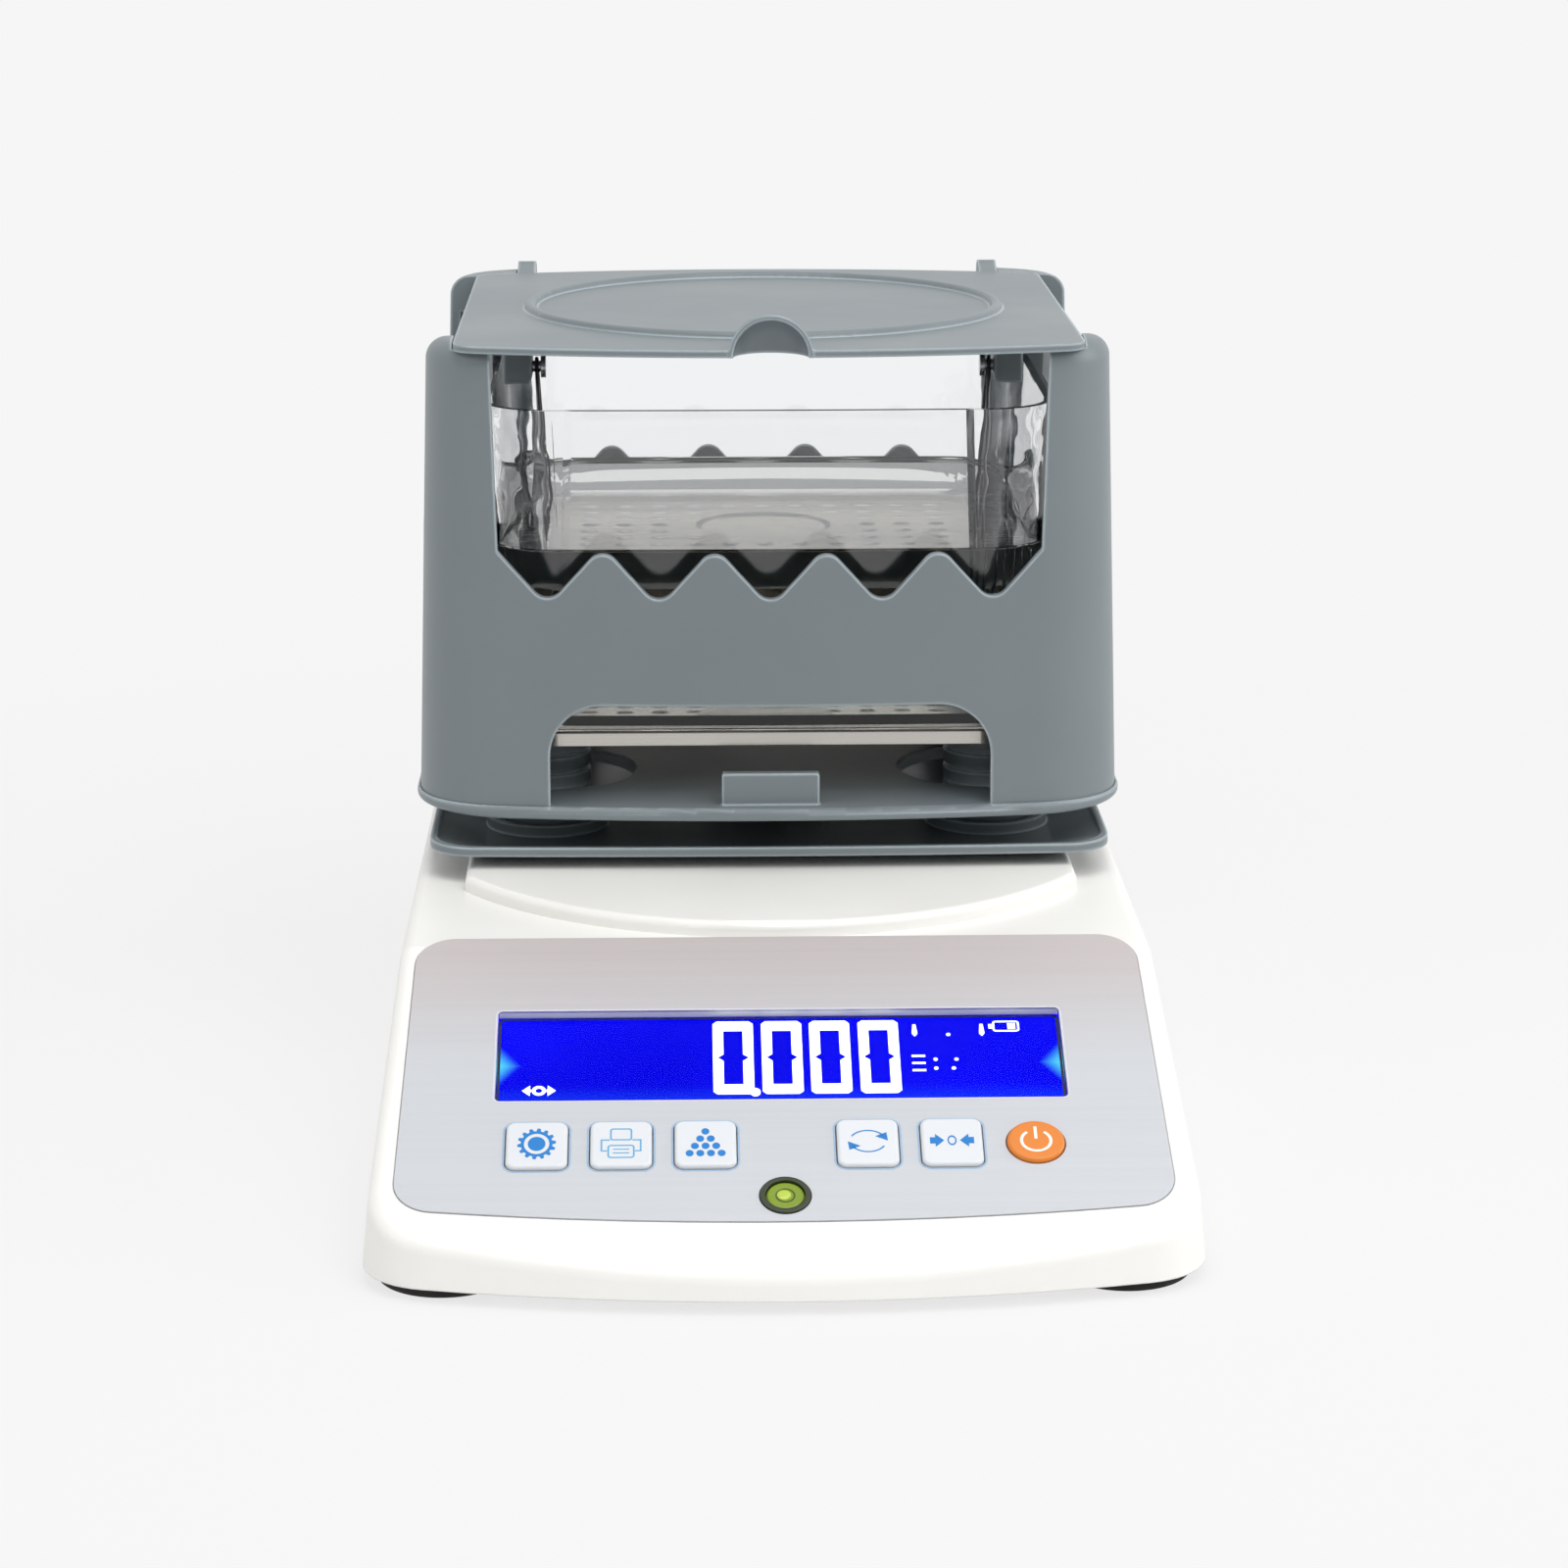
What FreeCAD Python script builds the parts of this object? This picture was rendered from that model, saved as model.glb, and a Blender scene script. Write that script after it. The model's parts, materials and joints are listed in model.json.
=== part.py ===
import FreeCAD, Part
import math
import os
from FreeCAD import Placement, Rotation, Vector

# Benchtop density meter, in millimetres.
# Origin on the table, below the middle of the balance body: +X right, +Y to the rear, +Z up.

OVERRUN = 5.0            # how far every cutting solid runs past what it cuts

# Balance body
body_depth = 360.0
body_half_width = 102.5
body_bottom_z = 3.5
body_draft = 5.5         # how far each wall leans in between the bottom and the shoulder
body_front_bow = 370.0
body_rear_bow = 1400.0
body_corner = 20.0
body_wall = 2.5
body_round = 4.0         # rounding of the upper edges
shoulder_z = 59.5
deck_rise = 4.0
deck_side_margin = 19.5  # from the body's foot in to the deck's side
deck_front_growth = 13.0 # how much wider the deck's front circle is than its sides, per side
deck_front_reach = 2.7   # how far the deck circle would run past the top of the panel
deck_rear_margin = 16.0
deck_corner = 26.0
deck_round = 2.0
rim_height = 9.0         # rim of the bottom tray
join_gap = 0.2           # play between parts that are pushed together
slide_gap = 0.3          # play round parts that move

# Sloped front panel; places are measured down the slope from its top edge
panel_angle = 24.5
panel_run = 118.7        # level distance from the panel's top edge to the body's front
overlay_top = 7.0
overlay_bottom = 111.4
overlay_side_bottom = 106.0
overlay_top_margin = 9.8     # from the body's foot in to the label plate's upper corner
overlay_bottom_margin = 7.7
overlay_corner = 10.0
overlay_thickness = 0.8
overlay_recess = 0.5
display_margin = 21.7    # from the label plate's side to the display
display_height = 33.0
display_down = 52.0
display_corner = 1.0
lcd_frame_margin = 3.0
lcd_frame_depth = 4.0
lcd_board_margin = 9.0
lcd_board_side_margin = 5.5
board_thickness = 1.6

# Keys
key_row_down = 85.1
key_left_x = -60.3
key_right_x = 20.6
key_pitch = 20.6
key_width = 15.1
key_height = 16.3
key_corner = 2.4
key_proud = 1.1
key_edge_round = 0.9
key_flange = 1.2
key_flange_thickness = 0.8
key_stem_radius = 2.5
key_stem_length = 0.9
key_travel = 0.4
power_key_diameter = 14.2
switch_size = 6.0
switch_height = 3.5
key_board_half_height = 9.0
key_board_side = 16.5    # how far the key board runs past the outer keys

# Bubble level
level_down = 102.7
level_diameter = 12.4
level_ring = 1.4
level_depth = 6.0
level_proud = 0.5

# Levelling feet
foot_pad_diameter = 33.0
foot_pad_height = 6.0
foot_recess_gap = 1.0
foot_disc_diameter = 22.0
foot_disc_thickness = 2.0
foot_screw_diameter = 8.0
foot_screw_top_z = 16.0
foot_insert_wall = 2.0
foot_insert_height = 4.5
foot_boss_wall = 3.0
thread_gap = 0.1

# Housing and board screws
boss_diameter = 7.0
housing_boss_side_inset = 16.5
housing_boss_front_inset = 66.0
housing_boss_rear_inset = 48.0
screw_diameter = 3.0
screw_head_diameter = 5.6
screw_head_height = 2.0
screw_length = 12.0
board_boss_diameter = 5.0
board_screw_diameter = 2.2
board_screw_head_diameter = 4.0
board_screw_head_height = 1.4
board_screw_length = 5.0
board_screw_inset = 3.5

# Weighing cell inside the body
cell_length = 130.0
cell_width = 30.0
cell_height = 22.0
cell_block_height = 8.0
cell_block_length = 30.0
cell_hole_radius = 8.0
cell_hole_spacing = 26.0
cell_screw_spacing = 15.0
cell_screw_diameter = 6.0
cell_screw_head_diameter = 10.0
cell_screw_head_height = 6.0
cell_travel = 0.3        # how far the loaded end of the cell sinks
carrier_thickness = 4.0
carrier_pad_height = 4.0
carrier_width = 30.0
hub_radius = 13.0
hub_flange_radius = 34.0
hub_flange_thickness = 3.0
hub_gap = 3.0
hub_seat_height = 2.0
hub_round = 1.0

# Boards, battery and rear sockets
battery_width = 45.0
battery_length = 100.0
battery_headroom = 13.5  # from the battery up to the shoulder
battery_side_margin = 18.0
battery_corner = 3.0
clamp_thickness = 1.5
clamp_width = 14.0
clamp_foot = 9.0
main_board_side_margin = 13.5
main_board_cell_gap = 16.0
main_board_length = 92.0
standoff_height = 6.0
chip_size = 14.0
chip_height = 2.0
socket_z = 26.0
jack_x = -52.0
jack_radius = 6.0
jack_bore_radius = 2.8
jack_pin_radius = 1.0
jack_depth = 14.0
jack_flange = 2.0
jack_flange_thickness = 1.5
port_x = -16.0
port_width = 30.0
port_height = 12.0
port_depth = 11.0
port_throat_width = 17.0
port_throat_height = 8.5
port_throat_depth = 6.0
port_pin_radius = 0.5
port_pin_pitch = 2.7
port_row_gap = 2.8
port_flange_thickness = 1.2

# Drip tray on the deck
stage_rear_inset = 98.3  # from the body's rear to the middle of the weighing frame
tray_side_inset = 4.2    # from the base plate's side in to the tray's
tray_end_inset = 3.6
tray_floor_margin = 13.0
tray_corner = 13.0
tray_thickness = 1.8
tray_lip_bottom_rise = 3.6
tray_lip_height = 2.5
tray_collar_height = 3.2
tray_collar_wall = 1.8

# Posts and tank carrier
post_side_inset = 16.0   # from the support plate's side in to a post's middle
post_end_inset = 29.4
post_radius = 12.3
post_foot_radius = 15.0
post_foot_height = 3.0
post_groove_radius = 11.3
post_groove_pitch = 5.0
post_groove_width = 1.4
post_groove_count = 4
support_rise = 35.5      # from the deck up to the support plate's top
support_thickness = 1.2
support_lip = 4.6
support_side_margin = 3.0
support_end_margin = 0.7
support_corner = 20.0
tank_rim_drop = 18.8     # from the frame's top down to the tank's rim
tank_side_margin = 21.5  # from the frame's side in to the tank's foot
tank_end_margin = 18.6
tank_draft = 3.0
tank_wall = 2.2
tank_floor = 2.6
tank_corner = 20.0
tank_foot_inset = 8.0
tank_foot_height = 0.8
tank_rest_gap = 0.05

# Base plate of the weighing frame
base_plate_rise = 14.1   # from the deck up to the base plate
base_plate_thickness = 3.5
base_plate_side_margin = 1.0
base_plate_end_margin = 1.7
base_plate_corner = 30.0
base_plate_bow = 520.0
base_plate_round = 1.5
base_hole_radius = 25.0
base_rib_height = 3.0
base_rib_width = 2.0
base_tab_width = 26.5
base_tab_height = 8.8
base_tab_thickness = 3.0
base_tab_inset = 5.0
groove_depth = 1.0

# Frame shell
shell_height = 124.9
shell_side_inset = 6.0   # from the body's side in to the frame's
shell_half_depth = 94.6
shell_draft = 3.9
shell_corner = 27.0
shell_wall = 3.0
shell_round = 6.0
front_column_width = 23.3
rear_column_width = 26.9
zigzag_end = 13.2        # from the front window's side to its first valley
window_flare = 1.7       # how much wider each window side is at the top
zigzag_rise = 16.4
zigzag_round = 4.6
zigzag_mid_height = 63.2 # above the frame's foot, as the next heights are
zigzag_valleys = 5
arch_side_margin = 36.7
arch_height = 28.0
arch_corner = 14.5
side_column_depth = 28.9 # of the columns beside the side windows
side_sill_height = 69.6
side_corner = 8.0
rail_height = 8.0
rail_width = 5.0
rail_lid_gap = 1.0
cap_thickness = 11.0
lug_half_length = 8.0
lug_tank_inset = 9.0     # from the tank's side in to the bracket's inner face
lug_drop_thickness = 8.0
lug_below_peg = 4.0
lug_round = 2.0

# Lid
lid_thickness = 2.0
lid_side_inset = 12.0
lid_front_overhang = 2.1
lid_rear_inset = 16.3
lid_bow = 320.0
lid_corner = 8.0
lid_gap = 0.4
ring_radius = 67.9
ring_width = 3.6
ring_height = 1.7
ring_offset_y = -6.7
hood_radius = 11.4
hood_wall = 1.4
hinge_window_margin = 0.2
hinge_lid_gap = 1.0      # from the lid's rear edge to the hinge axis
hinge_drop = 3.0
knuckle_radius = 5.5
knuckle_width = 5.4
knuckle_arm_bite = 1.68  # how far a knuckle's arm runs in over the lid's rear edge
hinge_pin_radius = 1.5
hinge_pin_length = 12.0

# Basket
basket_rise = 17.7       # from the support plate up to the basket's floor
basket_side_margin = 14.0
basket_end_margin = 34.0
basket_corner = 9.0
basket_sheet = 1.0
basket_rim = 5.0
basket_dish_radius = 20.5
basket_dish_depth = 3.0
basket_hole_radius = 2.4
basket_hole_pitch = 10.0
basket_hole_margin = 6.0
wire_radius = 0.55
wire_spread = 26.0
peg_drop = 18.0
peg_radius = 1.6
peg_length = 2.4
peg_head_radius = 3.2
peg_head_thickness = 1.4
peg_gap = 0.05

# Places worked out from the sizes above
body_front_y = -body_depth / 2
body_rear_y = body_depth / 2
stage_y = body_rear_y - stage_rear_inset
panel_top_y = body_front_y + panel_run
deck_half_width = body_half_width - deck_side_margin
deck_front_radius = deck_half_width + deck_front_growth
deck_z = shoulder_z + deck_rise
overlay_top_half = body_half_width - overlay_top_margin
overlay_bottom_half = body_half_width - overlay_bottom_margin
display_width = 2 * (overlay_top_half - display_margin)
housing_boss_x = body_half_width - housing_boss_side_inset
battery_x = battery_side_margin + battery_width / 2 - body_half_width
main_board_inner_x = cell_width / 2 + main_board_cell_gap
main_board_outer_x = body_half_width - main_board_side_margin
main_board_width = main_board_outer_x - main_board_inner_x
main_board_x = (main_board_inner_x + main_board_outer_x) / 2
shell_half_width = body_half_width - shell_side_inset
base_plate_half_width = shell_half_width + base_plate_side_margin
tray_half_width = base_plate_half_width - tray_side_inset
window_front_half = shell_half_width - front_column_width
window_rear_half = shell_half_width - rear_column_width
zigzag_pitch = 2 * (window_front_half - zigzag_end) / (zigzag_valleys - 1)
arch_half_width = shell_half_width - arch_side_margin
lid_half_width = shell_half_width - lid_side_inset
hinge_x = window_rear_half + hinge_window_margin
tank_half_width = shell_half_width - tank_side_margin
support_half_width = tank_half_width + support_side_margin
post_x = support_half_width - post_side_inset
base_plate_half_depth = shell_half_depth + base_plate_end_margin
tray_half_depth = base_plate_half_depth - tray_end_inset
side_window_half = shell_half_depth - side_column_depth
lid_front_reach = shell_half_depth + lid_front_overhang
lid_rear_reach = shell_half_depth - lid_rear_inset
hinge_reach = lid_rear_reach + hinge_lid_gap
tank_half_depth = shell_half_depth - tank_end_margin
support_half_depth = tank_half_depth + support_end_margin
post_spacing_y = 2 * (support_half_depth - post_end_inset)
basket_half_depth = tank_half_depth - basket_end_margin
lug_inner_x = tank_half_width - lug_tank_inset
basket_half_width = tank_half_width - basket_side_margin
slope = math.radians(panel_angle)
floor_z = body_bottom_z + body_wall
battery_height = shoulder_z - floor_z - battery_headroom
base_plate_z = deck_z + base_plate_rise
support_top_z = deck_z + support_rise
basket_z = support_top_z + basket_rise
shell_bottom_z = base_plate_z + base_plate_thickness
shell_top_z = shell_bottom_z + shell_height
zigzag_mid_z = shell_bottom_z + zigzag_mid_height
arch_top_z = shell_bottom_z + arch_height
side_sill_z = shell_bottom_z + side_sill_height
overlay_top_level = overlay_thickness - overlay_recess
tank_rim_z = shell_top_z - tank_rim_drop
hinge_y = stage_y + hinge_reach
hinge_z = shell_top_z - hinge_drop
peg_z = shell_top_z - peg_drop
lug_bottom_z = peg_z - lug_below_peg
lid_bottom_z = shell_top_z - lid_thickness
rail_outer_x = lid_half_width - rail_lid_gap
rail_inner_x = rail_outer_x - rail_width
rail_top_z = lid_bottom_z - rail_lid_gap
rail_bottom_z = rail_top_z - rail_height
key_low_level = -(body_wall + key_flange_thickness + key_stem_length)
key_board_level = key_low_level - key_travel - slide_gap - switch_height
lcd_board_level = -(body_wall + lcd_frame_depth)
post_places = [
    (side * post_x, stage_y + end * post_spacing_y / 2)
    for end in (-1, 1)
    for side in (-1, 1)
]
boss_places = [
    (side * housing_boss_x, y)
    for y in (body_front_y + housing_boss_front_inset, body_rear_y - housing_boss_rear_inset)
    for side in (-1, 1)
]
key_names = ["key_settings", "key_print", "key_confirm", "key_mode", "key_zero", "key_power"]
key_places = [key_left_x + key_pitch * i for i in range(3)]
key_places += [key_right_x + key_pitch * i for i in range(3)]
key_board_boss_places = [
    (key_places[0] - key_pitch * 0.62, key_row_down),
    (key_places[5] + key_pitch * 0.62, key_row_down),
]
lcd_boss_places = [
    (side * (display_width / 2 + lcd_board_margin - board_screw_inset),
     display_down + end * (display_height / 2 + lcd_board_side_margin - board_screw_inset))
    for end in (-1, 1)
    for side in (-1, 1)
]
PANEL = Placement(Vector(0, panel_top_y, deck_z), Rotation(Vector(1, 0, 0), panel_angle))

# Plans: half width, front and rear reach, front and rear bow radius, corner radius, middle y
BODY_PLAN = (body_half_width, body_depth / 2, body_depth / 2, body_front_bow, body_rear_bow,
             body_corner, 0)
SHELL_PLAN = (shell_half_width, shell_half_depth, shell_half_depth, base_plate_bow,
              base_plate_bow, shell_corner, stage_y)
BASE_PLATE_PLAN = (base_plate_half_width, base_plate_half_depth, base_plate_half_depth,
                   base_plate_bow, base_plate_bow, base_plate_corner, stage_y)
LID_PLAN = (lid_half_width, lid_front_reach, lid_rear_reach, lid_bow, lid_bow, lid_corner, stage_y)


def block(x0, x1, y0, y1, z0, z1):
    """A box between two corners."""
    return Part.makeBox(x1 - x0, y1 - y0, z1 - z0, Vector(x0, y0, z0))


def upright(x, y, z0, z1, radius):
    """A vertical round bar."""
    return Part.makeCylinder(radius, z1 - z0, Vector(x, y, z0))


def along_x(x0, x1, y, z, radius):
    """A round bar along X."""
    return Part.makeCylinder(radius, x1 - x0, Vector(x0, y, z), Vector(1, 0, 0))


def along_y(x, y0, y1, z, radius):
    """A round bar along Y."""
    return Part.makeCylinder(radius, y1 - y0, Vector(x, y0, z), Vector(0, 1, 0))


def fuse(shapes):
    """One solid from several that meet."""
    joined = shapes[0]
    if len(shapes) > 1:
        joined = joined.multiFuse(shapes[1:])
    return joined.removeSplitter()


def round_edges(solid, axis, radius, wanted=None):
    """Rounds the straight edges that run along an axis."""
    edges = []
    for edge in solid.Edges:
        if not isinstance(edge.Curve, (Part.Line, Part.LineSegment)):
            continue
        run = edge.Vertexes[-1].Point - edge.Vertexes[0].Point
        if abs(run.normalize().dot(axis)) > 0.999 and (wanted is None or wanted(edge)):
            edges.append(edge)
    return solid.makeFillet(radius, edges)


def edges_at_level(solid, z, tolerance=0.001):
    """The edges that lie flat at one height."""
    return [e for e in solid.Edges
            if abs(e.BoundBox.ZMin - z) < tolerance and abs(e.BoundBox.ZMax - z) < tolerance]


def rounded_block(half_x, half_y, z0, z1, corner, x=0, y=0):
    """An upright plate with round corners."""
    plate = block(x - half_x, x + half_x, y - half_y, y + half_y, z0, z1)
    return round_edges(plate, Vector(0, 0, 1), corner)


def bowed_end(half_x, reach, bow, corner, way, z):
    """Points of one bowed end: side, corner middle, corner end, crown, and mirrored."""
    bow_center = way * (reach - bow)
    corner_x = half_x - corner
    corner_y = bow_center + way * math.sqrt((bow - corner) ** 2 - corner_x ** 2)
    reach_x = corner_x / (bow - corner)
    reach_y = (corner_y - bow_center) / (bow - corner)
    middle = Vector(1 + reach_x, reach_y, 0).normalize()
    side = (half_x, corner_y)
    turn = (corner_x + corner * middle.x, corner_y + corner * middle.y)
    end = (bow * reach_x, bow_center + bow * reach_y)
    crown = (0, way * reach)
    return side, turn, end, crown


def outline(plan, z, inset=0):
    """Closed plan with straight sides, bowed ends and round corners, moved in by inset."""
    half_x, front, rear, front_bow, rear_bow, corner, middle_y = plan
    half_x = half_x - inset
    ends = [(rear, rear_bow, 1), (front, front_bow, -1)]
    loops = []
    for reach, bow, way in ends:
        loops.append(bowed_end(half_x, reach - inset, bow - inset, corner - inset, way, z))

    def place(point, mirror=1):
        return Vector(mirror * point[0], middle_y + point[1], z)

    (side_r, turn_r, end_r, crown_r), (side_f, turn_f, end_f, crown_f) = loops
    edges = [
        Part.LineSegment(place(side_f), place(side_r)),
        Part.Arc(place(side_r), place(turn_r), place(end_r)),
        Part.Arc(place(end_r), place(crown_r), place(end_r, -1)),
        Part.Arc(place(end_r, -1), place(turn_r, -1), place(side_r, -1)),
        Part.LineSegment(place(side_r, -1), place(side_f, -1)),
        Part.Arc(place(side_f, -1), place(turn_f, -1), place(end_f, -1)),
        Part.Arc(place(end_f, -1), place(crown_f), place(end_f)),
        Part.Arc(place(end_f), place(turn_f), place(side_f)),
    ]
    return Part.Wire([edge.toShape() for edge in edges])


def leaning(plan, base_z, lean, z0, z1, inset=0):
    """Solid of a plan between two heights, its walls leaning in by lean per unit of height."""
    low = outline(plan, z0, inset + lean * (z0 - base_z))
    high = outline(plan, z1, inset + lean * (z1 - base_z))
    return Part.makeLoft([low, high], True, True)


def flat(plan, z0, z1, inset=0):
    """Upright plate of a plan."""
    return leaning(plan, z0, 0, z0, z1, inset)


def on_panel(shape):
    """Moves a shape from the panel's own axes (x, up the slope, outwards) to its place."""
    placed = shape.copy()
    placed.Placement = PANEL.multiply(placed.Placement)
    return placed


def panel_block(x, down, width, height, low, high, corner):
    """A plate with round corners in the panel's own axes."""
    return rounded_block(width / 2, height / 2, low, high, corner, x, -down)


def panel_bar(x, down, low, high, radius):
    """A round bar standing on the panel."""
    return upright(x, -down, low, high, radius)


def slope_side(inset, reach):
    """Everything under the panel plane, the plane moved in by inset."""
    size = body_depth + reach
    below = block(-size, size, -size, size, -size, -inset)
    return on_panel(below)


# The balance body

body_lean = body_draft / (shoulder_z - body_bottom_z)


def corner_middles(plan):
    """Middles of a plan's round corners: front left, front right, rear left, rear right."""
    half_x, front, rear, front_bow, rear_bow, corner, middle_y = plan
    x = half_x - corner
    front_y = front_bow - front - math.sqrt((front_bow - corner) ** 2 - x ** 2)
    rear_y = rear - rear_bow + math.sqrt((rear_bow - corner) ** 2 - x ** 2)
    return [(side * x, middle_y + y) for y in (front_y, rear_y) for side in (-1, 1)]


foot_places = corner_middles(BODY_PLAN)


def body_form(inset):
    """Outer form of the body, or its inside when moved in by the wall."""
    low = body_bottom_z - (OVERRUN if inset else 0)
    form = leaning(BODY_PLAN, body_bottom_z, body_lean, low, shoulder_z - inset, inset)
    return form.common(slope_side(inset, OVERRUN))


def deck_form(inset):
    """The raised deck: a round front, straight sides, and the panel plane trimming it."""
    half = deck_half_width - inset
    radius = deck_front_radius - inset
    center_y = panel_top_y - deck_front_reach + deck_front_radius
    kink_y = center_y - math.sqrt(radius ** 2 - half ** 2)
    rear_y = body_rear_y - deck_rear_margin - inset
    low = shoulder_z - body_wall - inset
    edges = [
        Part.Arc(Vector(-half, kink_y, low), Vector(0, center_y - radius, low), Vector(half, kink_y, low)),
        Part.LineSegment(Vector(half, kink_y, low), Vector(half, rear_y, low)),
        Part.LineSegment(Vector(half, rear_y, low), Vector(-half, rear_y, low)),
        Part.LineSegment(Vector(-half, rear_y, low), Vector(-half, kink_y, low)),
    ]
    face = Part.Face(Part.Wire([edge.toShape() for edge in edges]))
    top = deck_z - inset
    deck = face.extrude(Vector(0, 0, top - low))
    deck = round_edges(deck, Vector(0, 0, 1), deck_corner - inset,
                       lambda e: e.Vertexes[0].Point.y > center_y)
    if not inset:
        deck = deck.makeFillet(deck_round, edges_at_level(deck, top))
    return deck.common(slope_side(inset, OVERRUN))


def rounded_body():
    """The body with its upper edges rounded, all but the crease below the deck."""
    form = body_form(0)
    normal = Vector(0, -math.sin(slope), math.cos(slope))
    origin = Vector(0, panel_top_y, deck_z)

    def on_slope(point):
        return abs((point - origin).dot(normal)) < join_gap / 20

    def on_shoulder(point):
        return abs(point.z - shoulder_z) < join_gap / 20

    chosen = []
    for edge in form.Edges:
        points = edge.discretize(5)
        sloped = all(on_slope(p) for p in points)
        level = all(on_shoulder(p) for p in points)
        if sloped != level:
            chosen.append(edge)
    return form.makeFillet(body_round, chosen)


def socket_cutters():
    """Openings in the rear wall for the two sockets."""
    reach = body_rear_y - OVERRUN * 4
    jack = along_y(jack_x, reach, body_rear_y + OVERRUN, socket_z, jack_radius + join_gap)
    port = block(port_x - port_width / 2 - join_gap, port_x + port_width / 2 + join_gap,
                 reach, body_rear_y + OVERRUN,
                 socket_z - port_height / 2 - join_gap, socket_z + port_height / 2 + join_gap)
    return [jack, port]


def overlay_plate(low, high, grow):
    """The label plate: straight top, slightly flared sides, bowed bottom, round corners."""
    top = -overlay_top + grow
    side_low = -overlay_side_bottom - grow
    corners = [
        Vector(-overlay_top_half - grow, top, low),
        Vector(overlay_top_half + grow, top, low),
        Vector(overlay_bottom_half + grow, side_low, low),
        Vector(-overlay_bottom_half - grow, side_low, low),
    ]
    crown = Vector(0, -overlay_bottom - grow, low)
    edges = [
        Part.LineSegment(corners[0], corners[1]),
        Part.LineSegment(corners[1], corners[2]),
        Part.Arc(corners[2], crown, corners[3]),
        Part.LineSegment(corners[3], corners[0]),
    ]
    face = Part.Face(Part.Wire([edge.toShape() for edge in edges]))
    plate = face.extrude(Vector(0, 0, high - low))
    return round_edges(plate, Vector(0, 0, 1), overlay_corner + grow)


def key_form(index, low, high, grow):
    """The plan of one key, square or round, between two levels."""
    x = key_places[index]
    if key_names[index] == "key_power":
        return panel_bar(x, key_row_down, low, high, power_key_diameter / 2 + grow)
    return panel_block(x, key_row_down, key_width + 2 * grow, key_height + 2 * grow,
                       low, high, key_corner + grow)


def panel_openings(low, high, key_grow):
    """Openings for the display, keys and level between two levels."""
    cuts = [panel_block(0, display_down, display_width + 2 * join_gap,
                        display_height + 2 * join_gap, low, high, display_corner)]
    for index in range(len(key_names)):
        cuts.append(key_form(index, low, high, key_grow))
    cuts.append(panel_bar(0, level_down, low, high, level_diameter / 2 + join_gap))
    return cuts


def top_housing():
    """White casing: drafted walls, sloped panel, raised deck, bosses for what it carries."""
    outside = rounded_body().fuse(deck_form(0))
    inside = body_form(body_wall).fuse(deck_form(body_wall))
    shell = outside.cut(inside)
    bosses = []
    for x, y in boss_places:
        bosses.append(upright(x, y, floor_z + slide_gap, deck_z, boss_diameter / 2))
    for x, down in lcd_boss_places:
        bosses.append(on_panel(panel_bar(x, down, lcd_board_level, -body_wall / 2,
                                         board_boss_diameter / 2)))
    for x, down in key_board_boss_places:
        bosses.append(on_panel(panel_bar(x, down, key_board_level, -body_wall / 2,
                                         board_boss_diameter / 2)))
    kept = [boss.common(outside) for boss in bosses]
    shell = shell.multiFuse(kept)
    cuts = [on_panel(overlay_plate(-overlay_recess, OVERRUN, join_gap))]
    cuts += [on_panel(cut) for cut in panel_openings(-body_wall - OVERRUN / 5, OVERRUN, slide_gap)]
    cuts += socket_cutters()
    for x, y in boss_places:
        cuts.append(upright(x, y, floor_z - OVERRUN, floor_z + screw_length, screw_diameter / 2))
    for x, down in lcd_boss_places:
        cuts.append(on_panel(panel_bar(x, down, lcd_board_level - OVERRUN,
                                       lcd_board_level + board_screw_length - board_thickness,
                                       board_screw_diameter / 2)))
    for x, down in key_board_boss_places:
        cuts.append(on_panel(panel_bar(x, down, key_board_level - OVERRUN,
                                       key_board_level + board_screw_length - board_thickness,
                                       board_screw_diameter / 2)))
    for x, y in post_places:
        cuts.append(upright(x, y, deck_z - OVERRUN, deck_z + OVERRUN, cell_screw_diameter / 2))
    cuts.append(upright(0, stage_y, shoulder_z - OVERRUN, deck_z + OVERRUN, hub_radius + hub_gap))
    return shell.cut(Part.makeCompound(cuts)).removeSplitter()


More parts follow.
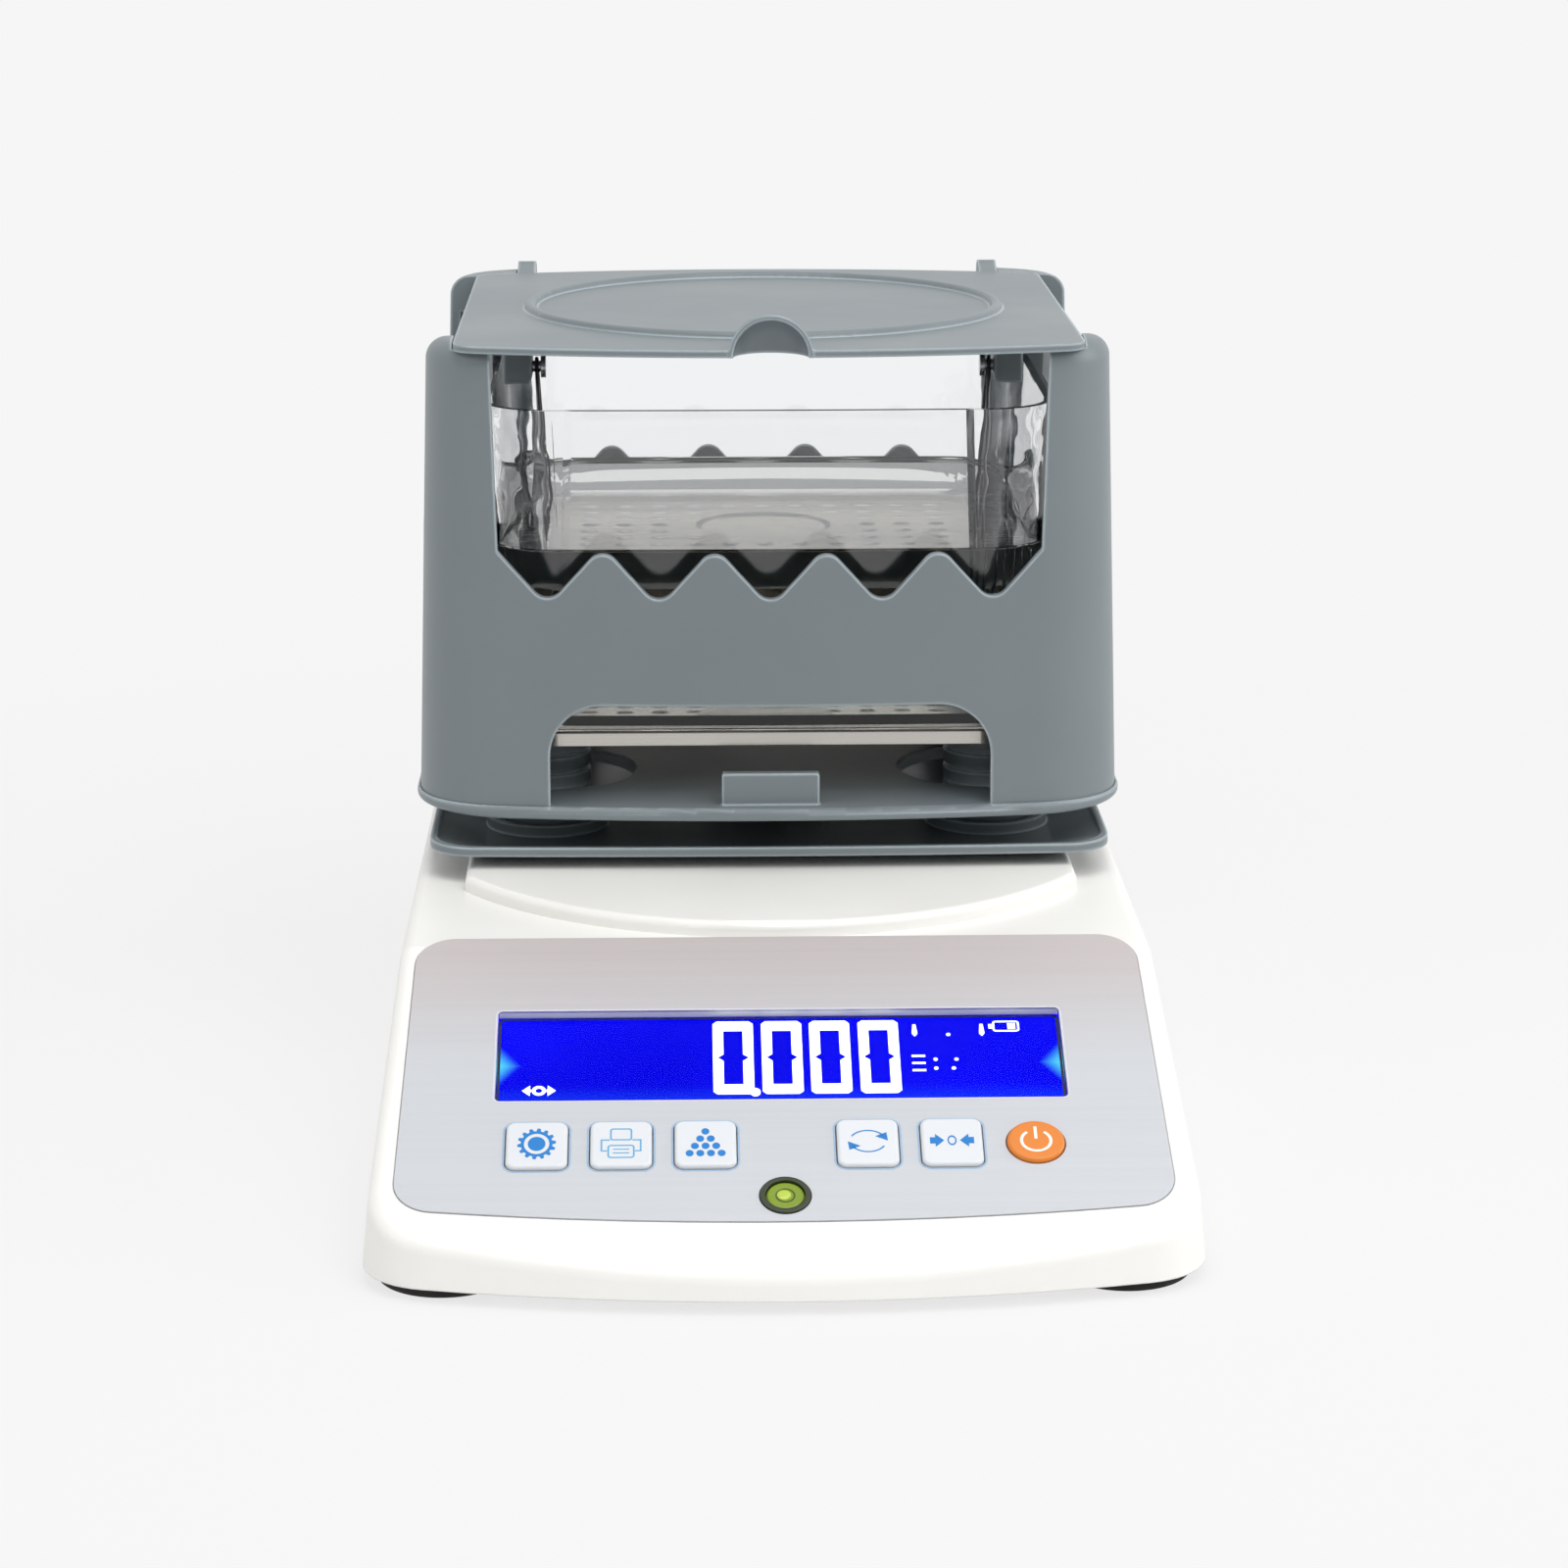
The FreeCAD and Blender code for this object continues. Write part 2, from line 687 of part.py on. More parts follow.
def base_shell():
    """Bottom tray: floor, rim inside the housing, foot recesses, pads for what stands on it."""
    inset = body_wall + join_gap
    tray = leaning(BODY_PLAN, body_bottom_z, body_lean, body_bottom_z, floor_z + rim_height, inset)
    hollow = leaning(BODY_PLAN, body_bottom_z, body_lean, floor_z, floor_z + rim_height + OVERRUN,
                     inset + body_wall)
    tray = tray.cut(hollow).common(slope_side(inset, OVERRUN))
    recess_z = foot_pad_height + foot_recess_gap
    added = []
    cuts = []
    for x, y in foot_places:
        cup = foot_pad_diameter / 2 + foot_recess_gap
        sleeve = foot_screw_diameter / 2 + foot_insert_wall
        added.append(upright(x, y, body_bottom_z, recess_z + body_wall, cup + body_wall))
        added.append(upright(x, y, recess_z, recess_z + body_wall + foot_insert_height,
                             sleeve + foot_boss_wall))
        cuts.append(upright(x, y, body_bottom_z - OVERRUN, recess_z, cup))
        cuts.append(upright(x, y, recess_z - OVERRUN, recess_z + body_wall + foot_insert_height + OVERRUN,
                            sleeve))
    limit = leaning(BODY_PLAN, body_bottom_z, body_lean, body_bottom_z, shoulder_z, inset)
    added = [piece.common(limit).common(slope_side(inset, OVERRUN)) for piece in added]
    for x, y in main_board_corners():
        added.append(upright(x, y, floor_z - body_wall / 2, floor_z + standoff_height,
                             board_boss_diameter / 2))
    tray = tray.multiFuse(added)
    for x, y in boss_places:
        cuts.append(upright(x, y, body_bottom_z - OVERRUN, floor_z + OVERRUN,
                            screw_diameter / 2 + join_gap))
        cuts.append(upright(x, y, body_bottom_z - OVERRUN, body_bottom_z + screw_head_height / 2,
                            screw_head_diameter / 2 + join_gap))
    for x, y in main_board_corners():
        cuts.append(upright(x, y, floor_z, floor_z + standoff_height + OVERRUN, board_screw_diameter / 2))
    return tray.cut(Part.makeCompound(cuts)).removeSplitter()


def panel_overlay():
    """Silver label plate with its openings, lying in the panel's recess."""
    plate = overlay_plate(-overlay_recess, overlay_top_level, 0)
    plate = plate.cut(Part.makeCompound(panel_openings(-OVERRUN, OVERRUN, slide_gap)))
    return on_panel(plate)


def display_window():
    """Clear window, flush with the label plate, on the display module."""
    return on_panel(panel_block(0, display_down, display_width, display_height,
                                -body_wall + slide_gap, overlay_top_level, display_corner))


def lcd_module():
    """Display: glass frame on its board, screwed under the panel."""
    frame = panel_block(0, display_down, display_width + 2 * lcd_frame_margin,
                        display_height + 2 * lcd_frame_margin, lcd_board_level, -body_wall, display_corner)
    board = panel_block(0, display_down, display_width + 2 * lcd_board_margin,
                        display_height + 2 * lcd_board_side_margin,
                        lcd_board_level - board_thickness, lcd_board_level, board_screw_inset / 2)
    holes = [panel_bar(x, down, lcd_board_level - OVERRUN, lcd_board_level + OVERRUN / 5,
                       board_screw_diameter / 2 + join_gap / 2) for x, down in lcd_boss_places]
    return on_panel(frame.fuse(board.cut(Part.makeCompound(holes))).removeSplitter())


def key_board():
    """Narrow board under the keys."""
    left = key_places[0] - key_board_side
    right = key_places[5] + key_board_side
    board = panel_block((left + right) / 2, key_row_down, right - left, 2 * key_board_half_height,
                        key_board_level - board_thickness, key_board_level, board_screw_inset / 2)
    holes = [panel_bar(x, down, key_board_level - OVERRUN, key_board_level + OVERRUN,
                       board_screw_diameter / 2 + join_gap / 2) for x, down in key_board_boss_places]
    return on_panel(board.cut(Part.makeCompound(holes)))


def tact_switches():
    """Six push switches, each a square case with a round button."""
    switches = []
    button = switch_height / 4
    for x in key_places:
        case = panel_block(x, key_row_down, switch_size, switch_size, key_board_level,
                           key_board_level + switch_height - button, switch_size / 12)
        top = panel_bar(x, key_row_down, key_board_level + switch_height - button,
                        key_board_level + switch_height, switch_size / 4)
        switches.append(on_panel(case.fuse(top)))
    return Part.makeCompound(switches)


def key(index):
    """One key: domed cap, stop flange under the panel and the stem over its switch."""
    top = overlay_top_level + key_proud
    flange_top = -body_wall - slide_gap / 6
    flange_low = flange_top - key_flange_thickness
    cap = key_form(index, flange_top, top, 0)
    cap = cap.makeFillet(key_edge_round, edges_at_level(cap, top))
    flange = key_form(index, flange_low, flange_top, key_flange)
    stem = panel_bar(key_places[index], key_row_down, flange_low - key_stem_length, flange_low,
                     key_stem_radius)
    return on_panel(fuse([cap, flange, stem]))


def level_cup():
    """Ring and cup that hold the bubble level."""
    cup = panel_bar(0, level_down, -level_depth, overlay_top_level + level_proud, level_diameter / 2)
    cup = cup.makeFillet(level_proud / 2, edges_at_level(cup, overlay_top_level + level_proud))
    bore = panel_bar(0, level_down, -level_depth + level_ring, OVERRUN, level_diameter / 2 - level_ring)
    return on_panel(cup.cut(bore))


def level_vial():
    """Domed vial in the cup."""
    radius = level_diameter / 2 - level_ring - join_gap / 4
    low = -level_depth + level_ring
    body = panel_bar(0, level_down, low, overlay_top_level, radius)
    return on_panel(body.makeFillet(level_ring / 2, edges_at_level(body, overlay_top_level)))


# What stands inside the body

def load_cell():
    """Aluminium bar with the two joined holes that let it bend."""
    z0 = floor_z + cell_block_height
    half = cell_width / 2
    bar = block(-half, half, stage_y - cell_length / 2, stage_y + cell_length / 2, z0, z0 + cell_height)
    middle = z0 + cell_height / 2
    cuts = [along_x(-half - OVERRUN, half + OVERRUN, stage_y + way * cell_hole_spacing / 2, middle,
                    cell_hole_radius) for way in (-1, 1)]
    cuts.append(block(-half - OVERRUN, half + OVERRUN, stage_y - cell_hole_spacing / 2,
                      stage_y + cell_hole_spacing / 2, middle - cell_hole_radius / 3,
                      middle + cell_hole_radius / 3))
    cuts += cell_screw_bars(stage_y - cell_length / 2, z0 - OVERRUN, z0 + cell_height + OVERRUN,
                            cell_screw_diameter / 2 + join_gap)
    return bar.cut(Part.makeCompound(cuts))


def cell_screw_bars(end_y, z0, z1, radius):
    """Two upright bars where the screws of one end of the cell pass."""
    return [upright(0, end_y + cell_screw_spacing * place, z0, z1, radius) for place in (0.5, 1.5)]


def load_cell_block():
    """Spacer under the fixed end of the cell."""
    front = stage_y - cell_length / 2
    spacer = block(-cell_width / 2, cell_width / 2, front, front + cell_block_length,
                   floor_z, floor_z + cell_block_height)
    holes = cell_screw_bars(front, floor_z - OVERRUN, floor_z + cell_block_height + OVERRUN,
                            cell_screw_diameter / 2 + join_gap)
    return spacer.cut(Part.makeCompound(holes))


def load_cell_screws():
    """Two cap screws down through the fixed end of the cell."""
    top = floor_z + cell_block_height + cell_height
    front = stage_y - cell_length / 2
    shanks = cell_screw_bars(front, floor_z, top, cell_screw_diameter / 2)
    heads = cell_screw_bars(front, top, top + cell_screw_head_height, cell_screw_head_diameter / 2)
    sockets = cell_screw_bars(front, top + cell_screw_head_height / 2, top + cell_screw_head_height + OVERRUN,
                              cell_screw_diameter / 3)
    return Part.makeCompound([fuse([s, h]).cut(k) for s, h, k in zip(shanks, heads, sockets)])


def weigh_carrier():
    """Bracket on the free end of the cell that brings the load back over its middle."""
    cell_top = floor_z + cell_block_height + cell_height
    rear = stage_y + cell_length / 2
    half = carrier_width / 2
    arm_z = cell_top + carrier_pad_height
    pad = block(-half, half, rear - cell_block_length, rear, cell_top + cell_travel + thread_gap, arm_z)
    arm = block(-half, half, stage_y, rear, arm_z, arm_z + carrier_thickness)
    nose = upright(0, stage_y, arm_z, arm_z + carrier_thickness, half)
    return fuse([pad, arm, nose])


def weigh_hub():
    """Turned hub: shaft, webs and the flange that carries the base plate."""
    low = floor_z + cell_block_height + cell_height + carrier_pad_height + carrier_thickness
    high = base_plate_z
    shaft = upright(0, stage_y, low, high, hub_radius)
    flange = upright(0, stage_y, high - hub_flange_thickness, high, hub_flange_radius)
    flange = flange.makeFillet(hub_round, edges_at_level(flange, high - hub_flange_thickness))
    seat = upright(0, stage_y, high, high + hub_seat_height, hub_radius)
    return fuse([shaft, flange, seat])


def battery_pack():
    """Rechargeable block with rounded edges."""
    pack = rounded_block(battery_width / 2, battery_length / 2, floor_z, floor_z + battery_height,
                         battery_corner, battery_x, stage_y - post_radius)
    return pack.makeFillet(battery_corner / 2, edges_at_level(pack, floor_z + battery_height))


def battery_clamp():
    """Bent strap over the battery with two feet on the floor."""
    half = battery_width / 2 + join_gap
    outer = half + clamp_thickness
    y0 = stage_y - post_radius - clamp_width / 2
    y1 = y0 + clamp_width
    top = floor_z + battery_height + join_gap
    strap = block(battery_x - outer, battery_x + outer, y0, y1, floor_z, top + clamp_thickness)
    strap = strap.cut(block(battery_x - half, battery_x + half, y0 - OVERRUN, y1 + OVERRUN,
                            floor_z - OVERRUN, top))
    foot = block(battery_x + half, battery_x + outer + clamp_foot, y0, y1, floor_z, floor_z + clamp_thickness)
    return fuse([strap, foot])


def main_board_corners():
    """Screw places of the main board."""
    half_x = main_board_width / 2 - board_screw_inset
    half_y = main_board_length / 2 - board_screw_inset
    return [(main_board_x + sx * half_x, stage_y + sy * half_y) for sy in (-1, 1) for sx in (-1, 1)]


def main_board():
    """Measuring and control board on its standoffs, with its largest chips."""
    z0 = floor_z + standoff_height
    board = rounded_block(main_board_width / 2, main_board_length / 2, z0, z0 + board_thickness,
                          board_screw_inset / 2, main_board_x, stage_y)
    holes = [upright(x, y, z0 - OVERRUN, z0 + OVERRUN, board_screw_diameter / 2 + join_gap / 2)
             for x, y in main_board_corners()]
    board = board.cut(Part.makeCompound(holes))
    chips = []
    for step in (-1, 0, 1):
        y = stage_y + step * chip_size * 2
        chips.append(block(main_board_x - chip_size / 2, main_board_x + chip_size / 2,
                           y - chip_size / 2, y + chip_size / 2,
                           z0 + board_thickness, z0 + board_thickness + chip_height))
    return fuse([board] + chips)


def rear_wall_y(x, z):
    """Outer face of the leaning, bowed rear wall at one place."""
    sag = body_rear_bow - math.sqrt(body_rear_bow ** 2 - x ** 2)
    return body_rear_y - body_lean * (z - body_bottom_z) - sag


def power_jack():
    """Round inlet at the rear with its flange inside the wall and a contact pin."""
    wall_y = rear_wall_y(jack_x, socket_z)
    reach = jack_radius + jack_flange
    inner_y = rear_wall_y(jack_x - reach, socket_z + reach) - body_wall - join_gap
    barrel = along_y(jack_x, inner_y - jack_depth, wall_y, socket_z, jack_radius)
    flange = along_y(jack_x, inner_y - jack_flange_thickness, inner_y, socket_z, jack_radius + jack_flange)
    bore = along_y(jack_x, inner_y - jack_depth / 2, wall_y + OVERRUN, socket_z, jack_bore_radius)
    pin = along_y(jack_x, inner_y - jack_depth / 2, wall_y - jack_flange_thickness, socket_z, jack_pin_radius)
    return fuse([barrel.fuse(flange).cut(bore), pin])


def serial_port():
    """Nine pin data socket at the rear."""
    wall_y = rear_wall_y(port_x, socket_z)
    inner_y = wall_y - body_wall
    body = block(port_x - port_width / 2, port_x + port_width / 2, inner_y - port_depth, wall_y,
                 socket_z - port_height / 2, socket_z + port_height / 2)
    throat = block(port_x - port_throat_width / 2, port_x + port_throat_width / 2,
                   wall_y - port_throat_depth, wall_y + OVERRUN,
                   socket_z - port_throat_height / 2, socket_z + port_throat_height / 2)
    throat = round_edges(throat, Vector(0, 1, 0), port_throat_height / 4)
    body = body.cut(throat)
    pins = []
    for count, way in ((5, 1), (4, -1)):
        for i in range(count):
            x = port_x + (i - (count - 1) / 2) * port_pin_pitch
            pins.append(along_y(x, wall_y - port_throat_depth, wall_y - port_flange_thickness,
                                socket_z + way * port_row_gap / 2, port_pin_radius))
    return fuse([body] + pins)


def housing_screws():
    """Four screws up through the bottom tray into the housing's bosses."""
    screws = []
    head_z = body_bottom_z + screw_head_height / 2
    for x, y in boss_places:
        head = upright(x, y, head_z - screw_head_height / 2, head_z, screw_head_diameter / 2)
        shank = upright(x, y, head_z, floor_z + screw_length - body_wall, screw_diameter / 2 - join_gap / 4)
        screws.append(fuse([head, shank]))
    return Part.makeCompound(screws)


def board_screws():
    """Pan head screws of the display, key and main boards."""
    screws = []
    radius = board_screw_diameter / 2 - join_gap / 4
    places = [(x, down, lcd_board_level) for x, down in lcd_boss_places]
    places += [(x, down, key_board_level) for x, down in key_board_boss_places]
    for x, down, level in places:
        under = level - board_thickness
        head = panel_bar(x, down, under - board_screw_head_height, under, board_screw_head_diameter / 2)
        shank = panel_bar(x, down, under, under + board_screw_length - join_gap, radius)
        screws.append(on_panel(fuse([head, shank])))
    top = floor_z + standoff_height + board_thickness
    for x, y in main_board_corners():
        head = upright(x, y, top, top + board_screw_head_height, board_screw_head_diameter / 2)
        shank = upright(x, y, top - board_screw_length + join_gap, top, radius)
        screws.append(fuse([head, shank]))
    return Part.makeCompound(screws)


def foot_inserts():
    """Four threaded sleeves in the bottom tray."""
    low = foot_pad_height + foot_recess_gap
    high = low + body_wall + foot_insert_height
    radius = foot_screw_diameter / 2
    return Part.makeCompound([
        upright(x, y, low, high, radius + foot_insert_wall).cut(
            upright(x, y, low - OVERRUN, high + OVERRUN, radius + thread_gap))
        for x, y in foot_places])


def foot_screw(place):
    """Levelling screw with the disc that turns in the rubber pad."""
    x, y = place
    disc_z = foot_pad_height - foot_disc_thickness
    disc = upright(x, y, disc_z, foot_pad_height, foot_disc_diameter / 2)
    shank = upright(x, y, foot_pad_height, foot_screw_top_z, foot_screw_diameter / 2)
    tip = edges_at_level(shank, foot_screw_top_z)
    return fuse([disc, shank.makeChamfer(foot_screw_diameter / 8, tip)])


def foot_pad(place):
    """Rubber pad, its socket open upwards for the screw's disc."""
    x, y = place
    pad = upright(x, y, 0, foot_pad_height, foot_pad_diameter / 2)
    pad = pad.makeFillet(foot_recess_gap, edges_at_level(pad, 0))
    socket = upright(x, y, foot_pad_height - foot_disc_thickness, foot_pad_height + OVERRUN,
                     foot_disc_diameter / 2 + slide_gap)
    return pad.cut(socket)


# Drip tray, posts and tank

def collar_places():
    """Holes of the drip tray: the four posts and the hub."""
    places = [(x, y, post_foot_radius + join_gap) for x, y in post_places]
    places.append((0, stage_y, hub_radius + hub_gap))
    return places


def tray_ring(half_grow, z):
    """One level of the tray's flared wall."""
    half_x = tray_half_width - half_grow
    half_y = tray_half_depth - half_grow
    corner = tray_corner - half_grow / 2
    plan = (half_x, half_y, half_y, base_plate_bow * 4, base_plate_bow * 4, corner, stage_y)
    return outline(plan, z)


def drip_tray():
    """Shallow pan on the deck with a raised lip and a collar round every hole."""
    lip_z = deck_z + tray_lip_bottom_rise
    top_z = lip_z + tray_lip_height
    outside = Part.makeLoft([tray_ring(tray_floor_margin, deck_z), tray_ring(0, lip_z),
                             tray_ring(0, top_z)], True, True)
    thin = tray_thickness
    inside = Part.makeLoft([tray_ring(tray_floor_margin + thin, deck_z + thin),
                            tray_ring(thin, lip_z + thin), tray_ring(thin, top_z + thin)], True, True)
    tray = outside.cut(inside)
    collars = []
    holes = []
    for x, y, radius in collar_places():
        height = deck_z + thin + tray_collar_height
        collars.append(upright(x, y, deck_z, height, radius + tray_collar_wall))
        holes.append(upright(x, y, deck_z - OVERRUN, height + OVERRUN, radius))
    return tray.multiFuse(collars).cut(Part.makeCompound(holes)).removeSplitter()


def tank_post(place):
    """Turned post with a broad foot and shallow grooves, tapped from below."""
    x, y = place
    top = support_top_z - support_thickness
    foot_top = deck_z + post_foot_height
    step = post_radius - post_groove_radius
    profile = [Vector(0, 0, deck_z), Vector(post_foot_radius, 0, deck_z),
               Vector(post_foot_radius, 0, foot_top), Vector(post_radius, 0, foot_top)]
    for i in range(post_groove_count):
        low = foot_top + post_groove_pitch * (i + 1)
        profile += [Vector(post_radius, 0, low), Vector(post_groove_radius, 0, low + step / 2),
                    Vector(post_groove_radius, 0, low + post_groove_width - step / 2),
                    Vector(post_radius, 0, low + post_groove_width)]
    profile += [Vector(post_radius, 0, top - step), Vector(post_groove_radius, 0, top),
                Vector(0, 0, top), Vector(0, 0, deck_z)]
    post = Part.Face(Part.makePolygon(profile)).revolve(Vector(0, 0, 0), Vector(0, 0, 1), 360)
    tapped = upright(0, 0, deck_z - OVERRUN, deck_z + screw_length, cell_screw_diameter / 2)
    post = post.cut(tapped)
    post.translate(Vector(x, y, 0))
    return post


def post_screws():
    """Four screws up through the deck into the posts."""
    screws = []
    under = deck_z - body_wall
    for x, y in post_places:
        head = upright(x, y, under - cell_screw_head_height / 2, under, cell_screw_head_diameter / 2)
        shank = upright(x, y, under, deck_z + screw_length - join_gap, cell_screw_diameter / 2 - join_gap / 4)
        screws.append(fuse([head, shank]))
    return Part.makeCompound(screws)


def support_plate():
    """Stainless plate on the posts with its edge turned down all round."""
    low = support_top_z - support_lip
    plate = rounded_block(support_half_width, support_half_depth, low, support_top_z,
                          support_corner, 0, stage_y)
    plate = plate.makeFillet(support_thickness, edges_at_level(plate, support_top_z))
    hollow = rounded_block(support_half_width - support_thickness, support_half_depth - support_thickness,
                           low - OVERRUN, support_top_z - support_thickness,
                           support_corner - support_thickness, 0, stage_y)
    return plate.cut(hollow)


def tank_level(z, grow, corner):
    """Plan of the tank at one height."""
    half_x = tank_half_width + grow
    half_y = tank_half_depth + grow
    plan = (half_x, half_y, half_y, base_plate_bow * 4, base_plate_bow * 4, corner, stage_y)
    return outline(plan, z)


def water_tank():
    """Clear open tank with slightly flared walls and round corners."""
    low = support_top_z + tank_foot_height
    high = tank_rim_z
    flare = tank_draft / (high - low)
    outside = Part.makeLoft([tank_level(low, 0, tank_corner),
                             tank_level(high, tank_draft, tank_corner)], True, True)
    inner_low = low + tank_floor
    over = flare * OVERRUN
    inner_corner = tank_corner - tank_wall
    inside = Part.makeLoft([tank_level(inner_low, flare * tank_floor - tank_wall, inner_corner),
                            tank_level(high + OVERRUN, tank_draft + over - tank_wall, inner_corner)],
                           True, True)
    foot_low = support_top_z + tank_rest_gap
    foot = Part.makeLoft([tank_level(foot_low, -tank_foot_inset, inner_corner),
                          tank_level(low + tank_floor / 2, -tank_foot_inset, inner_corner)], True, True)
    return outside.cut(inside).fuse(foot).removeSplitter()


# The weighing frame

shell_lean = shell_draft / (shell_top_z - shell_bottom_z)


def shell_walls(z0, z1, inset=0):
    """The shell's leaning walls as a filled solid."""
    return leaning(SHELL_PLAN, shell_bottom_z, shell_lean, z0, z1, inset)


def zigzag_cutter(half_width, y0, y1):
    """Window cutter with a zigzag lower edge, rounded at every peak and valley."""
    low = zigzag_mid_z - zigzag_rise / 2
    high = zigzag_mid_z + zigzag_rise / 2
    first = -(zigzag_valleys - 1) / 2 * zigzag_pitch
    edge_z = low + (half_width + first) * zigzag_rise / (zigzag_pitch / 2)
    top = shell_top_z + OVERRUN
    top_half = half_width + window_flare
    points = [Vector(-top_half, y0, top), Vector(-half_width, y0, edge_z)]
    for i in range(zigzag_valleys):
        x = first + i * zigzag_pitch
        points.append(Vector(x, y0, low))
        if i < zigzag_valleys - 1:
            points.append(Vector(x + zigzag_pitch / 2, y0, high))
    points += [Vector(half_width, y0, edge_z), Vector(top_half, y0, top)]
    points.append(points[0])
    prism = Part.Face(Part.makePolygon(points)).extrude(Vector(0, y1 - y0, 0))
    return round_edges(prism, Vector(0, 1, 0), zigzag_round,
                       lambda e: e.Vertexes[0].Point.z < side_sill_z + zigzag_rise
                       and abs(e.Vertexes[0].Point.x) < half_width - join_gap)


def arch_cutter():
    """Cutter of the low openings at the front and the rear."""
    y0 = stage_y - shell_half_depth - OVERRUN
    y1 = stage_y + shell_half_depth + OVERRUN
    prism = block(-arch_half_width, arch_half_width, y0, y1, shell_bottom_z - OVERRUN, arch_top_z)
    return round_edges(prism, Vector(0, 1, 0), arch_corner,
                       lambda e: e.Vertexes[0].Point.z > shell_bottom_z)


def side_cutter():
    """Cutter of the side windows, open to the top."""
    reach = shell_half_width + OVERRUN
    window = block(-reach, reach, stage_y - side_window_half, stage_y + side_window_half,
                   side_sill_z, shell_top_z + OVERRUN)
    return round_edges(window, Vector(1, 0, 0), side_corner,
                       lambda e: e.Vertexes[0].Point.z < shell_top_z)


def column_caps():
    """Solid tops of the four corner columns."""
    low = shell_top_z - cap_thickness
    return shell_walls(low, shell_top_z, shell_wall / 2)


def side_rail(side):
    """Rail under the lid's side edge, from the front column to the rear one."""
    x0 = side * rail_inner_x
    x1 = side * rail_outer_x
    reach = side_window_half + rail_width / 2
    rail = block(min(x0, x1), max(x0, x1), stage_y - reach, stage_y + reach, rail_bottom_z, rail_top_z)
    return round_edges(rail, Vector(0, 1, 0), lug_round / 2)


def hanger_lug(side):
    """Bracket from the side rail over the tank's rim and down inside it."""
    outer_x = rail_inner_x + rail_width / 2
    points = [Vector(outer_x, 0, rail_bottom_z), Vector(outer_x, 0, rail_top_z),
              Vector(lug_inner_x, 0, rail_top_z), Vector(lug_inner_x, 0, lug_bottom_z),
              Vector(lug_inner_x + lug_drop_thickness, 0, lug_bottom_z),
              Vector(lug_inner_x + lug_drop_thickness, 0, rail_bottom_z),
              Vector(outer_x, 0, rail_bottom_z)]
    profile = [Vector(side * p.x, stage_y - lug_half_length, p.z) for p in points]
    lug = Part.Face(Part.makePolygon(profile)).extrude(Vector(0, 2 * lug_half_length, 0))
    lug = round_edges(lug, Vector(0, 1, 0), lug_round,
                      lambda e: abs(e.Vertexes[0].Point.x) < lug_inner_x + join_gap)
    hole = along_x(min(side * lug_inner_x, side * (lug_inner_x + lug_drop_thickness)),
                   max(side * lug_inner_x, side * (lug_inner_x + lug_drop_thickness)),
                   stage_y, peg_z, peg_radius)
    return lug.cut(hole)


def knuckle_arm_y():
    """Where the knuckles' arms start, just inside the lid's bowed rear edge."""
    outer_x = hinge_x + knuckle_width / 2
    edge_y = stage_y + lid_rear_reach - lid_bow + math.sqrt(lid_bow ** 2 - outer_x ** 2)
    return edge_y - knuckle_arm_bite


def shell():
    """Grey frame: drafted wall, zigzag windows, arches, side windows, rails and lugs."""
    outside = shell_walls(shell_bottom_z - groove_depth, shell_top_z)
    outside = outside.makeFillet(shell_round, edges_at_level(outside, shell_top_z))
    inside = shell_walls(shell_bottom_z - groove_depth - OVERRUN, shell_top_z + OVERRUN, shell_wall)
    walls = outside.cut(inside).fuse(column_caps().common(outside))
    y_front = stage_y - shell_half_depth - OVERRUN
    y_rear = stage_y + shell_half_depth + OVERRUN
    cuts = [zigzag_cutter(window_front_half, y_front, stage_y - side_window_half),
            zigzag_cutter(window_rear_half, stage_y + side_window_half, y_rear), arch_cutter(),
            side_cutter()]
    cuts.append(flat(LID_PLAN, lid_bottom_z - join_gap / 2, shell_top_z + OVERRUN, -lid_gap))
    pocket = knuckle_radius + lid_gap
    for side in (-1, 1):
        x0 = side * hinge_x - knuckle_width / 2 - lid_gap
        x1 = side * hinge_x + knuckle_width / 2 + lid_gap
        cuts.append(block(x0, x1, knuckle_arm_y() - 2 * lid_gap, hinge_y + pocket, hinge_z - pocket,
                          shell_top_z + OVERRUN))
        cuts.append(hinge_pin(side))
    frame = walls.cut(Part.makeCompound(cuts))
    added = []
    for side in (-1, 1):
        added += [side_rail(side), hanger_lug(side)]
    return frame.multiFuse(added).removeSplitter()


def hinge_pin(side):
    """One hinge pin, pressed into its column from the window side."""
    start = side * (hinge_x - knuckle_width / 2)
    end = start + side * hinge_pin_length
    return along_x(min(start, end), max(start, end), hinge_y, hinge_z, hinge_pin_radius)


def hinge_pins():
    """Both hinge pins."""
    return Part.makeCompound([hinge_pin(-1), hinge_pin(1)])


